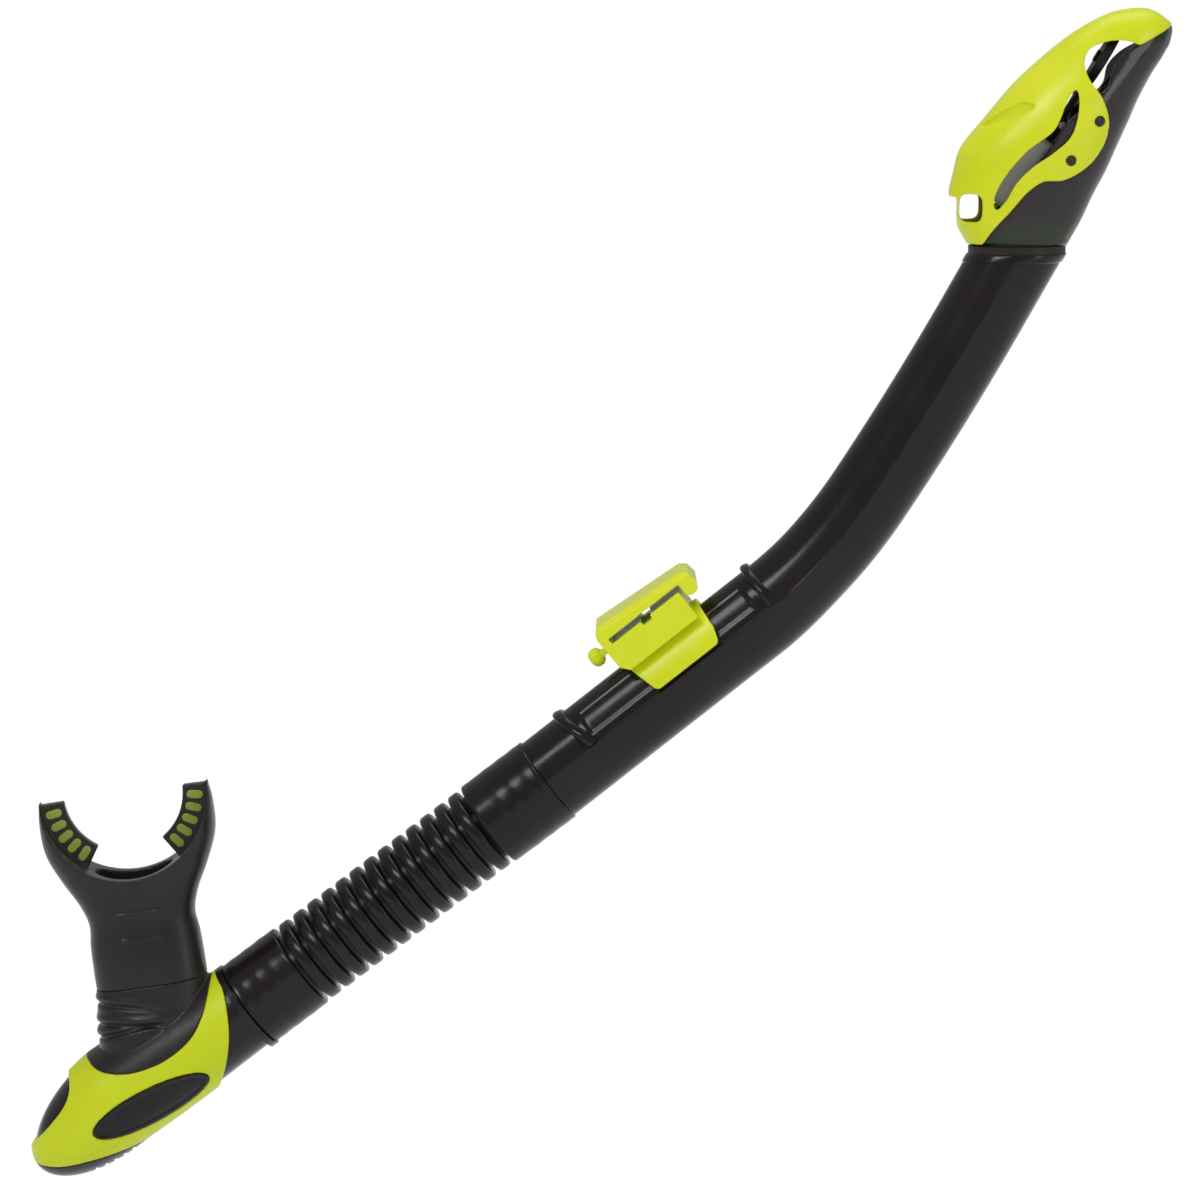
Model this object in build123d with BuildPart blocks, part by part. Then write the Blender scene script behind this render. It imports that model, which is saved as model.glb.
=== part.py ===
from build123d import *
import os
from math import atan2, cos, degrees, hypot, radians, sin

# Dry snorkel, in millimetres: a barrel with a float valve under a hood, a strap keeper on a track, a ribbed
# hose, and a purge chamber with its mouthpiece.
# Frame: the side view of the snorkel lies in the XZ plane, +X towards the hood, +Z up, and the snorkel is
# symmetric about that plane. The origin is the centre of the keeper's strap slot.

os.makedirs("parts", exist_ok=True)

# ------------------------------------------------------------------------------------ driving dimensions
# Barrel: an oval tube, straight at its track, then bent twice towards the hood.
tube_lean = 38.3  # degrees above level, the straight length
tube_height = 28.4  # section in the side plane, at the straight
tube_depth = 26.0  # section across
crown_height = 27.0  # section in the side plane, above the bend
bore_height = 24.4
bore_depth = 20.4
crown_bore_height = 23.0
foot_reach = 60.0  # from the strap slot down to the hose cuff
straight_length = 84.0
bend_length = 54.0
bend_turn = 18.2
crown_length = 69.8
crown_turn = 4.0
neck_length = 20.6  # last straight, up to the level rim
rim_band = 0.4  # the rim stands this proud
rim_band_height = 3.2

# Track: a rail with a ledge each side, between two collars.
rail_depth = 23.4
ledge_rise = 1.4  # ledge above the barrel's centre line
track_low = -38.6  # along the barrel from the strap slot
track_high = 30.0
collar_proud = 1.5
collar_thick = 3.6
collar_rake = 5.5  # the low collar leans back by this much at its top

# Keeper: a shoe on the track, a clip with the strap slot, and its release button.
slot_height = 9.8  # strap slot's centre above the barrel's top
keeper_low = -16.9
keeper_high = 13.1
keeper_wall = 2.2
track_gap = 0.3
skirt_rise = 0.9  # shoe's lower edge above the ledge
clip_back = -19.1
slot_thick = 2.0
slot_low = -16.0
slot_high = 12.2
button_travel = 1.8
button_gap = 0.1
knob_radius = 3.1
knob_reach = 6.8  # knob's end, past the clip
knob_neck = 1.4
window_size = 3.6
window_place = (-2.6, -0.7)
tooth_length = 0.9
tooth_rise = 0.35
stem_height = 2.0
stem_depth = 5.0
spring_length = 6.5

# Hose: two cuffs and the ribs between them.
hose_lean = 37.2
cuff_radius = 14.9
upper_cuff = 24.6
lower_cuff = 21.2
rib_count = 13
rib_pitch = 5.7
rib_width = 4.2
rib_radius = 14.55
groove_radius = 11.6
rib_ramp = 0.35
hose_bore = 10.4
spigot_radius = 12.5
spigot_bore = 10.4
spigot_length = 19.0
swivel_gap = 0.08
barb_count = 3
barb_pitch = 5.6
barb_width = 2.0
barb_proud = 0.6
seat_gap = 0.15  # cuff's end face from its shoulder
flange_radius = 15.5
flange_thick = 2.0

# Purge chamber: a bullet-shaped shell under a cover.
chamber_lean = 34.3
chamber_length = 86.3
chamber_half_height = 17.0
chamber_half_depth = 18.2
nose_length = 34.3
nose_drop = -4.2  # the nose's tip lies this far below the chamber's axis
cover_thick = 1.2
chamber_wall = 1.8
badge_length = 41.0
badge_height = 11.6
badge_lean = 27.0
badge_proud = 0.35
badge_gap = 0.1
purge_place = 64.0  # along the chamber's axis
purge_level = -10.2  # seat's upper face, from the chamber's axis
purge_radius = 9.4
purge_seat_thick = 1.4
purge_disc_thick = 0.8
purge_lift = 1.5
purge_port = 1.9
purge_stem = 1.1

# Elbow and mouthpiece.
mouth_lean = 8.2
neck_half = 18.0
neck_half_depth = 12.5
mouth_wall = 2.3
neck_round = 0.94  # corner radius as a share of the smaller half
lip_radius = 27.0
lip_centre = 62.0  # above the neck's foot
lip_half_depth = 16.0
mouth_bore_half = 12.5
bite_inner = 19.0
bite_start = 1.0  # degrees below the lip's centre, the tabs' outer ends
bite_end = 57.0
pad_start = 9.2
pad_step = 10.1
pad_ring = 23.2
bite_thick = 4.6
pad_count = 5
pad_length = 5.4
pad_width = 2.7
pad_proud = 0.4

# Float valve and hood.
seal_thick = 2.4
hood_thick = 1.6
hood_gap = 0.2
shell_wall = 1.7
least_half = 1.0  # the hood's ovals stop where an inset leaves less than this
floor_thick = 1.6
port_edge = -4.6  # duct's opening in the floor starts here, from the rim's centre
socket_length = 6.0
socket_gap = 0.06
socket_wall = 1.3
stud_radius = 1.5
stud_gap = 0.1
stud_proud = 0.3
stud_places = [(25.0, 42.4), (16.0, 30.1)]  # from the rim's centre
seat_lean = 47.7  # the air port's seat
seat_level = -2.1  # plate's upper face, from the pin
seat_reach = 24.5  # port's centre from the pin
plate_thick = 1.6
port_half_length = 8.0
port_half_width = 6.6
port_rim = 0.8
rim_rise = 0.6
float_travel = 11.0  # degrees from hanging open to shut
float_lean = 231.7
float_half_depth = 9.6
float_outline = [(6.5, 1.8), (6.5, -4.0), (11.0, -8.2), (27.0, -8.0), (32.0, -4.6), (32.0, 1.8)]  # from the pin
float_arm = 26.0
pin_radius = 1.2
pin_gap = 0.05
pin_side_gap = 0.2
hub_radius = 2.4
hub_half = 5.8
arm_half = 4.0
arm_thick = 2.0
lug_thick = 1.6
lug_radius = 2.6
gate_foot = -0.1  # gate's lower face, from the pin
gate_thick = 1.6
gate_half_length = 9.5
gate_half_width = 8.0
flap_thick = 1.35
nub_radius = 1.2
chin_reach = 19.1  # hood's flat chin, left of the rim's centre
chin_height = 18.0
gill_deep = 0.8

far = 60.0  # longer than anything it has to cut across


# ------------------------------------------------------------------------------------ planes and frames
def along(lean):
    """Unit vector in the side plane, `lean` degrees above +X."""
    return Vector(cos(radians(lean)), 0, sin(radians(lean)))


def side_plane(point, lean=0.0):
    """Side plane through `point`: x runs along the lean, y square to it, z towards -Y."""
    return Plane(origin=point, x_dir=along(lean), z_dir=(0, -1, 0))


def cross_plane(point, lean):
    """Plane square to an axis that leans by `lean`: x runs across the snorkel, y away from the axis."""
    return Plane(origin=point, x_dir=(0, 1, 0), z_dir=along(lean))


def arc_end(point, lean, length, turn):
    """Point and lean at the end of an arc of `length` that turns by `turn` degrees."""
    half = radians(turn) / 2
    chord = length * sin(half) / half if turn else length
    return point + along(lean + turn / 2) * chord, lean + turn


def oval_loft(sections, ruled=True):
    """Solid through ovals, each given as (point, lean, half height, half depth)."""
    with BuildPart() as solid:
        for point, lean, half_height, half_depth in sections:
            with BuildSketch(cross_plane(point, lean)):
                Ellipse(half_depth, half_height)
        loft(ruled=ruled)
    return solid.part


def rounded_loft(sections):
    """Solid through rounded oblongs, each given as (point, lean, half width, half depth, corner share)."""
    with BuildPart() as solid:
        for point, lean, half_width, half_depth, share in sections:
            with BuildSketch(cross_plane(point, lean)):
                RectangleRounded(2 * half_depth, 2 * half_width, share * min(half_depth, half_width))
        loft(ruled=True)
    return solid.part


# Keeper's side plane: x along the barrel, y away from it, origin in the strap slot.
keeper_side = side_plane((0, 0, 0), tube_lean)
axis_level = -(slot_height + tube_height / 2)
barrel_foot = keeper_side.from_local_coords(Vector(-foot_reach, axis_level, 0))
bend_start, _ = arc_end(barrel_foot, tube_lean, straight_length, 0)
barrel_runs = [(bend_length, bend_turn), (crown_length, crown_turn), (neck_length, 0)]


def barrel_station(distance):
    """Point and lean of the barrel's centre line, `distance` above the bend's start."""
    point, lean = bend_start, tube_lean
    left = distance
    for length, turn in barrel_runs:
        part = min(left, length)
        point, lean = arc_end(point, lean, part, turn * part / length)
        left -= part
    return arc_end(point, lean, left, 0)


barrel_top, top_lean = barrel_station(bend_length + crown_length + neck_length)
rim_half = crown_height / 2 / sin(radians(top_lean))
hose_foot, _ = arc_end(barrel_foot, hose_lean, -(upper_cuff + lower_cuff + rib_count * rib_pitch
                                                 + rib_pitch - rib_width), 0)


# ------------------------------------------------------------------------------------ barrel
def barrel_core(straight_height, upper_height, depth, extra):
    """The barrel's solid oval: a straight run and the bend and crown above it."""
    heights = [(0.0, straight_height), (0.12, straight_height), (0.5, (straight_height + upper_height) / 2)]
    sections = []
    for share, height in heights:
        point, lean = barrel_station(share * bend_length)
        sections.append((point, lean, height / 2, depth / 2))
    for share in (0.0, 0.33, 0.66, 1.0):
        point, lean = barrel_station(bend_length + share * crown_length)
        sections.append((point, lean, upper_height / 2, depth / 2))
    for distance in (neck_length * 0.3, neck_length * 0.7, neck_length, neck_length + extra / 2, neck_length + extra):
        sections.append((point + along(lean) * distance, lean, upper_height / 2, depth / 2))
    bent = oval_loft(sections, ruled=False)
    with BuildPart() as core:
        with BuildSketch(cross_plane(barrel_foot - along(tube_lean), tube_lean)):
            Ellipse(depth / 2, straight_height / 2)
        extrude(amount=straight_length + 1)
        add(bent)
    return core.part


def spigot(point, lean):
    """Barbed round spigot that starts at `point` and runs along `lean`."""
    with BuildPart() as barbed:
        with BuildSketch(cross_plane(point, lean)):
            Circle(spigot_radius)
        extrude(amount=spigot_length)
        for ring in range(barb_count):
            with BuildSketch(cross_plane(point + along(lean) * (ring + 0.5) * barb_pitch, lean)):
                Circle(spigot_radius + barb_proud)
            extrude(amount=barb_width)
    return barbed.part


barrel_solid = barrel_core(tube_height, crown_height, tube_depth, tube_height)
barrel_bore = barrel_core(bore_height, crown_bore_height, bore_depth, tube_height)
upper_spigot = spigot(barrel_foot, hose_lean + 180)

with BuildPart() as collars:
    with BuildSketch(cross_plane(barrel_foot, tube_lean)):
        Ellipse(tube_depth / 2 + collar_proud, tube_height / 2 + collar_proud)
    extrude(amount=foot_reach + track_high + 2 * collar_thick)
    with BuildSketch(keeper_side):
        ledge_level = axis_level + ledge_rise
        collar_top = axis_level + tube_height / 2 + 2 * collar_proud
        with BuildLine():
            Polyline(
                (track_low, ledge_level),
                (track_low - collar_rake, collar_top),
                (track_low - collar_rake - collar_thick, collar_top),
                (track_low - collar_thick, ledge_level),
                close=True,
            )
        make_face()
        with BuildLine():
            Polyline(
                (track_high, ledge_level),
                (track_high, collar_top),
                (track_high + collar_thick, collar_top),
                (track_high + collar_thick, ledge_level),
                close=True,
            )
        make_face()
    extrude(amount=far, both=True, mode=Mode.INTERSECT)

with BuildPart() as barrel:
    add(barrel_solid)
    split(bisect_by=cross_plane(barrel_foot, hose_lean), keep=Keep.TOP)
    rail_start = keeper_side.from_local_coords(Vector(track_low - collar_rake, axis_level, 0))
    with BuildSketch(cross_plane(rail_start, tube_lean)):
        with Locations((0, ledge_rise + tube_height / 2)):
            Rectangle(2 * tube_depth, tube_height)
        Ellipse(rail_depth / 2, tube_height / 2, mode=Mode.SUBTRACT)
    extrude(amount=track_high - track_low + collar_rake, mode=Mode.SUBTRACT)
    add(collars.part)
    split(bisect_by=Plane.XY.offset(barrel_top.Z), keep=Keep.BOTTOM)
    with BuildSketch(Plane.XY.offset(barrel_top.Z)):
        with Locations((barrel_top.X, 0)):
            Ellipse(rim_half + rim_band, tube_depth / 2 + rim_band)
    extrude(amount=rim_band_height, dir=along(top_lean + 180))
    add(upper_spigot)
    add(barrel_bore, mode=Mode.SUBTRACT)
    with BuildSketch(cross_plane(barrel_foot, hose_lean)):
        Circle(spigot_bore)
    extrude(amount=-spigot_length, mode=Mode.SUBTRACT)
barrel.part.label = "barrel"
export_step(barrel.part, "parts/barrel.step")

# ------------------------------------------------------------------------------------ hose
hose_length = upper_cuff + rib_count * rib_pitch + (rib_pitch - rib_width) + lower_cuff


def hose_plane(distance):
    """Plane square to the hose, `distance` below the barrel's foot."""
    return cross_plane(barrel_foot - along(hose_lean) * distance, hose_lean)


rings = [(seat_gap, cuff_radius), (upper_cuff - rib_ramp, cuff_radius), (upper_cuff, groove_radius)]
for rib in range(rib_count):
    start = upper_cuff + (rib_pitch - rib_width) + rib * rib_pitch
    rings += [
        (start, groove_radius),
        (start + rib_ramp, rib_radius),
        (start + rib_width - rib_ramp, rib_radius),
        (start + rib_width, groove_radius),
    ]
cuff_start = hose_length - lower_cuff
rings += [(cuff_start, groove_radius), (cuff_start + rib_ramp, cuff_radius), (hose_length - seat_gap, cuff_radius)]

with BuildPart() as hose:
    for distance, radius in rings:
        with BuildSketch(hose_plane(distance)):
            Circle(radius)
    loft(ruled=True)
    with BuildSketch(hose_plane(hose_length)):
        Circle(hose_bore)
    extrude(amount=hose_length, mode=Mode.SUBTRACT)
    for distance in (0.0, hose_length - spigot_length - seat_gap):
        with BuildSketch(hose_plane(distance)):
            Circle(spigot_radius + swivel_gap)
        extrude(amount=-spigot_length - seat_gap, mode=Mode.SUBTRACT)
    for ring in range(barb_count):
        near = (ring + 0.5) * barb_pitch - swivel_gap
        for distance in (near, hose_length - near - barb_width - 2 * swivel_gap):
            with BuildSketch(hose_plane(distance)):
                Circle(spigot_radius + barb_proud + swivel_gap)
            extrude(amount=-barb_width - 2 * swivel_gap, mode=Mode.SUBTRACT)
hose.part.label = "hose"
export_step(hose.part, "parts/hose.step")

# ------------------------------------------------------------------------------------ keeper
keeper_foot = axis_level + ledge_rise + skirt_rise  # shoe's lower edge
crown_level = axis_level + tube_height / 2 + track_gap + keeper_wall  # shoe's top
parting_level = crown_level - 3.9  # clip's skirt ends here at the sides


def shoe_oval(grow):
    """The shoe's outer oval along the keeper's whole length, `grow` larger all round."""
    start = keeper_side.from_local_coords(Vector(clip_back, axis_level, 0))
    with BuildPart() as oval:
        with BuildSketch(cross_plane(start, tube_lean)):
            Ellipse(rail_depth / 2 + track_gap + keeper_wall + grow, tube_height / 2 + track_gap + keeper_wall + grow)
        extrude(amount=far)
    return oval.part


shoe_outer = shoe_oval(0)

with BuildPart() as keeper_shoe:
    add(shoe_outer)
    with BuildSketch(keeper_side):
        with BuildLine():
            Polyline(
                (keeper_low, crown_level + 1),
                (keeper_low, parting_level),
                (keeper_low + 3.1, keeper_foot),
                (keeper_high - 2.1, keeper_foot),
                (keeper_high - 0.4, keeper_foot + 5),
                (keeper_high, crown_level + 1),
                close=True,
            )
        sketch = make_face()
        fillet(sketch.vertices().group_by(Axis.Z)[0], 2.0)
    extrude(amount=far, both=True, mode=Mode.INTERSECT)
    rail_end = keeper_side.from_local_coords(Vector(clip_back, axis_level, 0))
    with BuildSketch(cross_plane(rail_end, tube_lean)):
        Ellipse(rail_depth / 2 + track_gap, tube_height / 2 + track_gap)
    extrude(amount=far, mode=Mode.SUBTRACT)
keeper_shoe.part.label = "keeper_shoe"
export_step(keeper_shoe.part, "parts/keeper_shoe.step")

# Clip: a block over the shoe with the strap slot, open at its hooked end.
clip_half_depth = rail_depth / 2 + track_gap + keeper_wall
slot_half = slot_thick / 2
button_level = -slot_half - 0.7 - stem_height / 2
with BuildPart() as keeper_clip:
    with BuildSketch(keeper_side):
        with BuildLine():
            Polyline(
                (clip_back + 2.6, parting_level),
                (clip_back + 0.4, parting_level + 2.7),
                (clip_back, slot_half + 1.4),
                (clip_back + 0.6, slot_half + 3.4),
                (clip_back + 2.3, slot_half + 5.0),
                (15.0, slot_half + 2.7),
                (17.0, slot_half + 0.9),
                (17.5, -1.6),
                (16.4, -4.0),
                (14.2, -4.4),
                (slot_high, -3.4),
                (slot_high, -1.2),
                (keeper_high - 2.2, -1.2),
                (keeper_high - 2.2, parting_level),
                close=True,
            )
        make_face()
    extrude(amount=clip_half_depth, both=True)
    top_edges = keeper_clip.edges().filter_by(lambda edge: abs(edge.center().Y) > clip_half_depth - 0.01)
    crest = top_edges.filter_by(lambda edge: keeper_side.to_local_coords(edge.center()).Y > slot_half + 2.5)
    chamfer(crest.filter_by(lambda edge: edge.length > 10), 1.6)
    with BuildSketch(keeper_side):
        with Locations(((slot_low + slot_high) / 2, 0)):
            Rectangle(slot_high - slot_low, slot_thick)
        with Locations((keeper_high - 1.55, -2.5)):
            Rectangle(1.3, 5.0)
        with Locations(window_place):
            Rectangle(window_size, window_size)
    extrude(amount=far, both=True, mode=Mode.SUBTRACT)
    stem_hole_end = keeper_side.from_local_coords(Vector(clip_back - 1, button_level, 0))
    with BuildSketch(cross_plane(stem_hole_end, tube_lean)):
        Rectangle(stem_depth + 2 * button_gap, stem_height + 2 * button_gap)
    extrude(amount=-clip_back - 0.2 + button_travel, mode=Mode.SUBTRACT)
    with BuildSketch(cross_plane(stem_hole_end, tube_lean)):
        Circle(stem_height / 2 + button_gap)
    extrude(amount=-clip_back - 0.5 + spring_length, mode=Mode.SUBTRACT)
    add(shoe_oval(0.02), mode=Mode.SUBTRACT)
keeper_clip.part.label = "keeper_clip"
export_step(keeper_clip.part, "parts/keeper_clip.step")

# Release button: a knob on a flat stem that ends in the tooth seen in the clip's window.
stem_end = -1.5
knob_end = clip_back - knob_reach
tooth_place = window_place[0] - (window_size - tooth_length) / 2 + button_gap
with BuildPart() as keeper_button:
    knob_place = keeper_side.from_local_coords(Vector(knob_end, button_level, 0))
    with BuildSketch(cross_plane(knob_place, tube_lean)):
        Circle(knob_radius)
    extrude(amount=2 * knob_radius - knob_neck)
    fillet(keeper_button.edges().filter_by(GeomType.CIRCLE), knob_radius * 0.7)
    with BuildSketch(cross_plane(knob_place + along(tube_lean), tube_lean)):
        Rectangle(stem_depth * 0.9, stem_height)
    extrude(amount=stem_end - knob_end - 1)
    with BuildSketch(keeper_side):
        with Locations((tooth_place, button_level + stem_height / 2)):
            Rectangle(tooth_length, 2 * tooth_rise)
    extrude(amount=stem_depth * 0.45, both=True)
keeper_button.part.label = "keeper_button"
export_step(keeper_button.part, "parts/keeper_button.step")

spring_start = keeper_side.from_local_coords(Vector(stem_end + 0.05, button_level, 0))
with BuildPart() as button_spring:
    with BuildSketch(cross_plane(spring_start, tube_lean)):
        Circle(stem_height / 2)
        Circle(stem_height / 2 - 0.4, mode=Mode.SUBTRACT)
    extrude(amount=spring_length - 0.1)
button_spring.part.label = "button_spring"
export_step(button_spring.part, "parts/button_spring.step")

# ------------------------------------------------------------------------------------ purge chamber
chamber_side = side_plane(hose_foot)  # level axes at the cuff's end
down_axis = chamber_lean + 180


def chamber_skin(inset):
    """The chamber's bullet, its surface drawn in by `inset` all round: a swelling tube with a domed nose."""
    tube_end = chamber_length - nose_length
    start = (flange_radius - 0.3, flange_radius - 0.3)
    stations = [(0.0, 0.0) + start]
    for share in (0.35, 0.7, 1.0):
        swell = sin(radians(90 * share))
        stations.append((
            tube_end * share,
            nose_drop * 0.15 * share,
            start[0] + (chamber_half_height - start[0]) * swell,
            start[1] + (chamber_half_depth - start[1]) * swell,
        ))
    for turn in (15, 30, 45, 58, 70, 80):
        reach = sin(radians(turn))
        stations.append((
            tube_end + nose_length * reach,
            nose_drop * (0.15 + 0.85 * reach),
            chamber_half_height * cos(radians(turn)),
            chamber_half_depth * cos(radians(turn)),
        ))
    sections = []
    for distance, rise, half_height, half_depth in stations:
        place = distance * (chamber_length - inset) / chamber_length
        point = hose_foot + along(down_axis) * place + along(chamber_lean + 90) * rise
        shrink = inset * (1 - 0.35 * (distance / chamber_length) ** 8)
        sections.append((point, chamber_lean, half_height - shrink, half_depth - shrink))
    return oval_loft(sections)


outer_skin = chamber_skin(0.0)
body_skin = chamber_skin(cover_thick)
inner_skin = chamber_skin(cover_thick + chamber_wall)

# The cover's edges in the side view, from the cuff's end.
cover_tip = (-11.6, 12.6)
saddle_edge = [cover_tip, (-12.6, 6.0), (-14.4, -1.4), (-18.0, -8.4), (-25.0, -14.6), (-32.4, -18.2), (-40.4, -20.0),
               (-48.4, -19.1), (-53.0, -15.8)]
right_edge = [(-9.4, -25.8), (-7.2, -18.8), (-5.8, -9.8), (-6.2, -0.8), (-8.2, 7.6), cover_tip]
nose_edge = [(-59.0, -20.0), (-57.4, -25.6), (-58.7, -30.6), (-63.8, -37.8), (-71.4, -46.6)]
belly_edge = [(-71.6, -51.8), (-61.0, -51.6), (-52.0, -49.5), (-43.0, -46.9), (-33.0, -43.6)]


with BuildPart() as chamber_cover:
    with BuildSketch(chamber_side):
        with BuildLine():
            Spline(*right_edge)
            Spline(*saddle_edge)
            Polyline(saddle_edge[-1], (-58.5, -9.0), (-64.0, -14.0), nose_edge[0])
            Spline(*nose_edge)
            Polyline(nose_edge[-1], (-78.0, -46.6), (-78.0, -53.0), belly_edge[0])
            Spline(*belly_edge)
            Polyline(belly_edge[-1], (-27.0, -46.0), (-14.0, -40.0), right_edge[0])
        make_face()
    extrude(amount=far, both=True)
    add(outer_skin, mode=Mode.INTERSECT)
    add(body_skin, mode=Mode.SUBTRACT)
    badge_centre = chamber_side.from_local_coords(Vector(-30.9, -30.4, 0))
    with BuildSketch(side_plane(badge_centre, badge_lean)):
        Ellipse(badge_length / 2 + badge_gap, badge_height / 2 + badge_gap)
    extrude(amount=far, both=True, mode=Mode.SUBTRACT)
    split(bisect_by=cross_plane(hose_foot - along(hose_lean) * flange_thick, hose_lean), keep=Keep.BOTTOM)
chamber_cover.part.label = "chamber_cover"
export_step(chamber_cover.part, "parts/chamber_cover.step")

badge_skin = chamber_skin(-badge_proud)
for side, name in ((1, "badge_left"), (-1, "badge_right")):
    with BuildPart() as badge:
        with BuildSketch(side_plane(badge_centre, badge_lean)):
            Ellipse(badge_length / 2, badge_height / 2)
        extrude(amount=side * far)
        add(badge_skin, mode=Mode.INTERSECT)
        add(body_skin, mode=Mode.SUBTRACT)
    badge.part.label = name
    export_step(badge.part, f"parts/{name}.step")

# Elbow: a boot from the chamber's top up to the mouthpiece, with a foot under the cover's saddle edge.
neck_foot = chamber_side.from_local_coords(Vector(-31.2, 7.8, 0))  # centre of the mouthpiece's foot
elbow_root = chamber_side.from_local_coords(Vector(-31.0, -19.0, 0))
elbow_root_half = 16.4
elbow_root_depth = 14.5
mouth_axis = 90.0 + mouth_lean


def neck_loft(inset, root_drop):
    """Elbow's oblong from its root up to the mouthpiece, drawn in by `inset`."""
    root = elbow_root - Vector(0, 0, root_drop)
    middle = root + (neck_foot - root) * 0.55
    return rounded_loft([
        (root, 90.0, elbow_root_half - inset, elbow_root_depth - inset, neck_round),
        (middle, 90.0 + mouth_lean * 0.55, neck_half - 0.4 - inset, neck_half_depth + 0.9 - inset, neck_round),
        (neck_foot, mouth_axis, neck_half - inset, neck_half_depth - inset, neck_round),
    ])


elbow_outer = neck_loft(0.0, 0.0)
elbow_bore = neck_loft(mouth_wall, 4.0)
# Bellows grooves: rise of each above the elbow's root at its open side, and its tilt.
groove_depth = 0.8
groove_width = 1.1
bellows = [(19.6, 3.0), (12.0, 9.0), (8.6, 24.0)]
with BuildPart() as elbow_boot:
    add(elbow_outer)
    for rise, tilt in bellows:
        mark = elbow_root + Vector(-elbow_root_half, 0, rise)
        centre = mark + along(tilt) * (neck_half + groove_depth)
        with BuildSketch(cross_plane(centre, 90.0 + tilt)):
            Ellipse(neck_half_depth + 8, neck_half + 8)
            with Locations((0, -groove_depth)):
                RectangleRounded(2 * neck_half_depth + 4, 2 * neck_half, neck_half_depth, mode=Mode.SUBTRACT)
        extrude(amount=groove_width, mode=Mode.SUBTRACT)

with BuildPart() as elbow_foot:
    with BuildSketch(chamber_side):
        with BuildLine():
            Spline(*saddle_edge)
            Polyline(saddle_edge[-1], (-56.0, -8.0), (-31.0, 24.0), cover_tip)
        make_face()
    extrude(amount=far, both=True)
    add(outer_skin, mode=Mode.INTERSECT)

with BuildPart() as elbow:
    add(elbow_boot.part)
    add(elbow_foot.part)
    add(body_skin, mode=Mode.SUBTRACT)
    add(elbow_bore, mode=Mode.SUBTRACT)
elbow.part.label = "elbow"
export_step(elbow.part, "parts/elbow.step")

# Chamber body: the inner shell, with the lower spigot, the airway up to the elbow and the purge seat's boss.
purge_axis = chamber_lean - 90  # purge faces away from the mouthpiece
purge_foot = hose_foot + along(down_axis) * purge_place


def purge_plane(level):
    """Plane of the purge valve, `level` above the chamber's axis; its z runs outwards."""
    return cross_plane(purge_foot + along(purge_axis) * -level, purge_axis)


lower_spigot = spigot(hose_foot, hose_lean)
with BuildPart() as purge_boss:
    with BuildSketch(purge_plane(purge_level + 2.6)):
        Circle(purge_radius + 1.6)
    extrude(amount=far)
    add(body_skin, mode=Mode.INTERSECT)

with BuildPart() as chamber_body:
    add(body_skin)
    add(inner_skin, mode=Mode.SUBTRACT)
    with BuildSketch(cross_plane(hose_foot, chamber_lean)):
        Circle(flange_radius - 0.3 - cover_thick)
    extrude(amount=-flange_thick)
    add(purge_boss.part)
    with BuildSketch(purge_plane(purge_level)):
        Circle(purge_radius + pin_gap)
    extrude(amount=far, mode=Mode.SUBTRACT)
    with BuildSketch(purge_plane(purge_level + 3)):
        Circle(purge_radius - 1.4)
    extrude(amount=far, mode=Mode.SUBTRACT)
    split(bisect_by=cross_plane(hose_foot - along(hose_lean) * flange_thick, hose_lean), keep=Keep.BOTTOM)
    add(lower_spigot)
    with BuildSketch(cross_plane(hose_foot, hose_lean)):
        Circle(spigot_radius)
    extrude(amount=-flange_thick)
    with BuildSketch(cross_plane(hose_foot - along(hose_lean) * 12, hose_lean)):
        Circle(spigot_bore)
    extrude(amount=12 + spigot_length, mode=Mode.SUBTRACT)
    add(elbow_bore, mode=Mode.SUBTRACT)
chamber_body.part.label = "chamber_body"
export_step(chamber_body.part, "parts/chamber_body.step")

with BuildPart() as cuff_ring:
    with BuildSketch(cross_plane(hose_foot, hose_lean)):
        Circle(flange_radius)
        Circle(spigot_radius, mode=Mode.SUBTRACT)
    extrude(amount=-flange_thick)
cuff_ring.part.label = "cuff_ring"
export_step(cuff_ring.part, "parts/cuff_ring.step")

# Purge valve: a seat with ports, a soft disc that lifts off it, and a slotted guard.
with BuildPart() as purge_seat:
    with BuildSketch(purge_plane(purge_level)):
        Circle(purge_radius)
        Circle(purge_stem + pin_gap, mode=Mode.SUBTRACT)
        with PolarLocations(purge_radius * 0.53, 6):
            Circle(purge_port, mode=Mode.SUBTRACT)
    extrude(amount=purge_seat_thick)
purge_seat.part.label = "purge_seat"
export_step(purge_seat.part, "parts/purge_seat.step")

with BuildPart() as purge_disc:
    with BuildSketch(purge_plane(purge_level - purge_seat_thick)):
        Circle(purge_radius - 0.9)
    extrude(amount=purge_disc_thick)
    with BuildSketch(purge_plane(purge_level - purge_seat_thick)):
        Circle(purge_stem)
    extrude(amount=-purge_seat_thick - purge_lift - 0.2)
    with BuildSketch(purge_plane(purge_level + purge_lift + 0.2)):
        Circle(purge_stem + 0.6)
    extrude(amount=-1.0)
purge_disc.part.label = "purge_disc"
export_step(purge_disc.part, "parts/purge_disc.step")

guard_slots = 5
with BuildPart() as purge_guard:
    with BuildSketch(chamber_side):
        with BuildLine():
            Spline(*belly_edge)
            Polyline(belly_edge[-1], (-30.0, -62.0), (-76.0, -62.0), belly_edge[0])
        make_face()
    extrude(amount=far, both=True)
    add(outer_skin, mode=Mode.INTERSECT)
    add(body_skin, mode=Mode.SUBTRACT)
    with BuildSketch(purge_plane(0)):
        with GridLocations(0, 3.4, 1, guard_slots):
            SlotOverall(13.0, 1.7)
    extrude(amount=far, mode=Mode.SUBTRACT)
purge_guard.part.label = "purge_guard"
export_step(purge_guard.part, "parts/purge_guard.step")

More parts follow.
